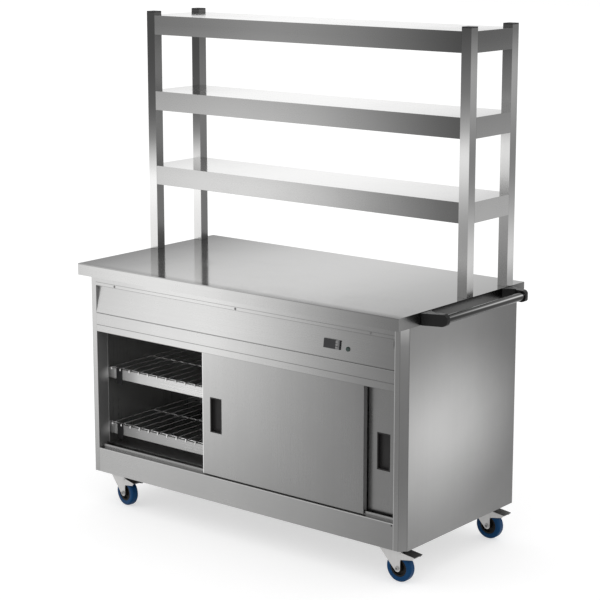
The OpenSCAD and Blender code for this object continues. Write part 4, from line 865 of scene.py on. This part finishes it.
hexBoltTree = buildHexBolt()
crossScrewTree = buildCrossScrew()
boltSpec = {"Head Radius": 0.0074, "Head Height": 0.0053, "Shank Radius": 0.004, "Shank Length": 0.020,
            "Nut Height": 0.0065, "Finish": finishes["boltSteel"]}
plateBoltSpec = {"height": 0.122, "across": (-0.040, 0.040), "along": (-0.030, 0.030)}
gantryBoltSpec = {"height": 0.9085, "x": (-0.696, 0.696), "y": (0.0315, 0.2755)}
handleBoltSpec = {"x": 0.7135, "height": 0.888, "middleY": 0.020, "halfSpan": 0.268, "insets": (0.013, 0.035)}
castorBolts = [(middleX + x + dx, y + dy, plateBoltSpec["height"]) for x, y, heading in castorSpec["places"]
               for dx in plateBoltSpec["across"] for dy in plateBoltSpec["along"]]
gantryBolts = [(middleX + x, y, gantryBoltSpec["height"]) for x in gantryBoltSpec["x"]
               for y in gantryBoltSpec["y"]]
handleBolts = [(middleX + handleBoltSpec["x"],
                handleBoltSpec["middleY"] + end * (handleBoltSpec["halfSpan"] - inset),
                handleBoltSpec["height"]) for end in (-1, 1) for inset in handleBoltSpec["insets"]]
# name: (places, how far the nut is down the shank, turn)
boltSets = {
    "castorBolts": (castorBolts, 0.005, (0, 0, 0)),
    "gantryBolts": (gantryBolts, 0.0045, (0, 0, 0)),
    "handleBolts": (handleBolts, 0.013, (0, math.radians(90), 0)),
}
for name, (places, nutPlace, turn) in boltSets.items():
    values = dict(boltSpec)
    values["Nut Place"] = nutPlace
    values["Turn"] = turn
    rideAndReplace(bakeTree(name, hexBoltTree, values, places), "cabinet", "fasteners")
screwSpec = {"Head Radius": 0.0045, "Head Height": 0.0020, "Cross Width": 0.0011, "Shank Radius": 0.002,
             "Shank Length": 0.010, "Turn": (math.radians(90), 0, 0), "Finish": finishes["boltSteel"]}
screwPlaces = [(middleX + x, -0.3245, 0.834) for x in (-0.575, 0.0, 0.575)]
fasciaScrews = bakeTree("fasciaScrews", crossScrewTree, screwSpec, screwPlaces)
rideAndReplace(fasciaScrews, "cabinet", "fasteners")
print("stage: repeated pieces")


# camera, light and floor

cameraSpec = {"place": (3.8918, -4.8400, 2.1778), "azimuth": 38.953, "elevation": 11.231,
              "lens": 108.28, "sensor": 36, "shift": -0.06, "seesTo": 100}
azimuth, elevation = math.radians(cameraSpec["azimuth"]), math.radians(cameraSpec["elevation"])
back = Vector((math.sin(azimuth) * math.cos(elevation), -math.cos(azimuth) * math.cos(elevation),
               math.sin(elevation)))
cameraData = bpy.data.cameras.new("camera")
cameraData.sensor_width = cameraSpec["sensor"]
cameraData.lens = cameraSpec["lens"]
cameraData.shift_y = cameraSpec["shift"]
cameraData.clip_end = cameraSpec["seesTo"]
camera = linkObject("camera", cameraData)
camera.location = cameraSpec["place"]
camera.rotation_mode = "QUATERNION"
camera.rotation_quaternion = (-back).to_track_quat("-Z", "Y")
bpy.context.scene.camera = camera

# white to the camera, in mirrors and through glass, and a little less as light
skySpec = {"seen": 1.0, "lights": 0.9}
world = bpy.data.worlds.new("studio")
bpy.context.scene.world = world
world.use_nodes = True
sky = world.node_tree
sky.nodes.clear()
rays = sky.nodes.new("ShaderNodeLightPath")
seen = mathNode(sky, "MAXIMUM", rays.outputs["Is Camera Ray"],
                mathNode(sky, "MAXIMUM", rays.outputs["Is Glossy Ray"], rays.outputs["Is Transmission Ray"]))
light = sky.nodes.new("ShaderNodeBackground")
light.inputs["Color"].default_value = (1, 1, 1, 1)
strength = rangeNode(sky, seen, 0.0, 1.0, skySpec["lights"], skySpec["seen"])
sky.links.new(strength, light.inputs["Strength"])
skyOut = sky.nodes.new("ShaderNodeOutputWorld")
sky.links.new(light.outputs[0], skyOut.inputs["Surface"])

lampAim = Vector((0, 0, 0.7))
lampSpecs = {
    "keyLight": {"place": (-2.6, -3.2, 3.4), "size": 2.2, "power": 12},
    "fillLight": {"place": (3.4, -2.4, 2.6), "size": 2.0, "power": 5},
}
for name, spec in lampSpecs.items():
    data = bpy.data.lights.new(name, "AREA")
    data.size = spec["size"]
    data.energy = spec["power"]
    lamp = linkObject(name, data)
    lamp.location = spec["place"]
    lamp.rotation_mode = "QUATERNION"
    lamp.rotation_quaternion = (lampAim - Vector(spec["place"])).to_track_quat("-Z", "Y")

# the floor glows only where it is seen, so that it stays white but takes the shadow
floorSpec = {"reach": 30, "tone": 0.6, "rough": 0.9, "glow": 0.55}
reach = floorSpec["reach"]
floorMesh = bpy.data.meshes.new("floor")
floorMesh.from_pydata([(-reach, -reach, 0), (reach, -reach, 0), (reach, reach, 0), (-reach, reach, 0)], [],
                      [(0, 1, 2, 3)])
floor = linkObject("floor", floorMesh)
floorPaint = bpy.data.materials.new("paleFloor")
floorPaint.use_nodes = True
floorTree = floorPaint.node_tree
floorShader = floorTree.nodes["Principled BSDF"]
floorShader.inputs["Base Color"].default_value = (floorSpec["tone"],) * 3 + (1,)
floorShader.inputs["Roughness"].default_value = floorSpec["rough"]
floorShader.inputs["Specular IOR Level"].default_value = 0.0
floorRays = floorTree.nodes.new("ShaderNodeLightPath")
floorSeen = mathNode(floorTree, "MAXIMUM", floorRays.outputs["Is Camera Ray"],
                     mathNode(floorTree, "MAXIMUM", floorRays.outputs["Is Glossy Ray"],
                              floorRays.outputs["Is Transmission Ray"]))
floorShader.inputs["Emission Color"].default_value = (1, 1, 1, 1)
glow = mathNode(floorTree, "MULTIPLY", floorSeen, floorSpec["glow"])
floorTree.links.new(glow, floorShader.inputs["Emission Strength"])
floorMesh.materials.append(floorPaint)

bpy.context.scene.view_settings.view_transform = "Standard"
print("stage: camera, light and floor")
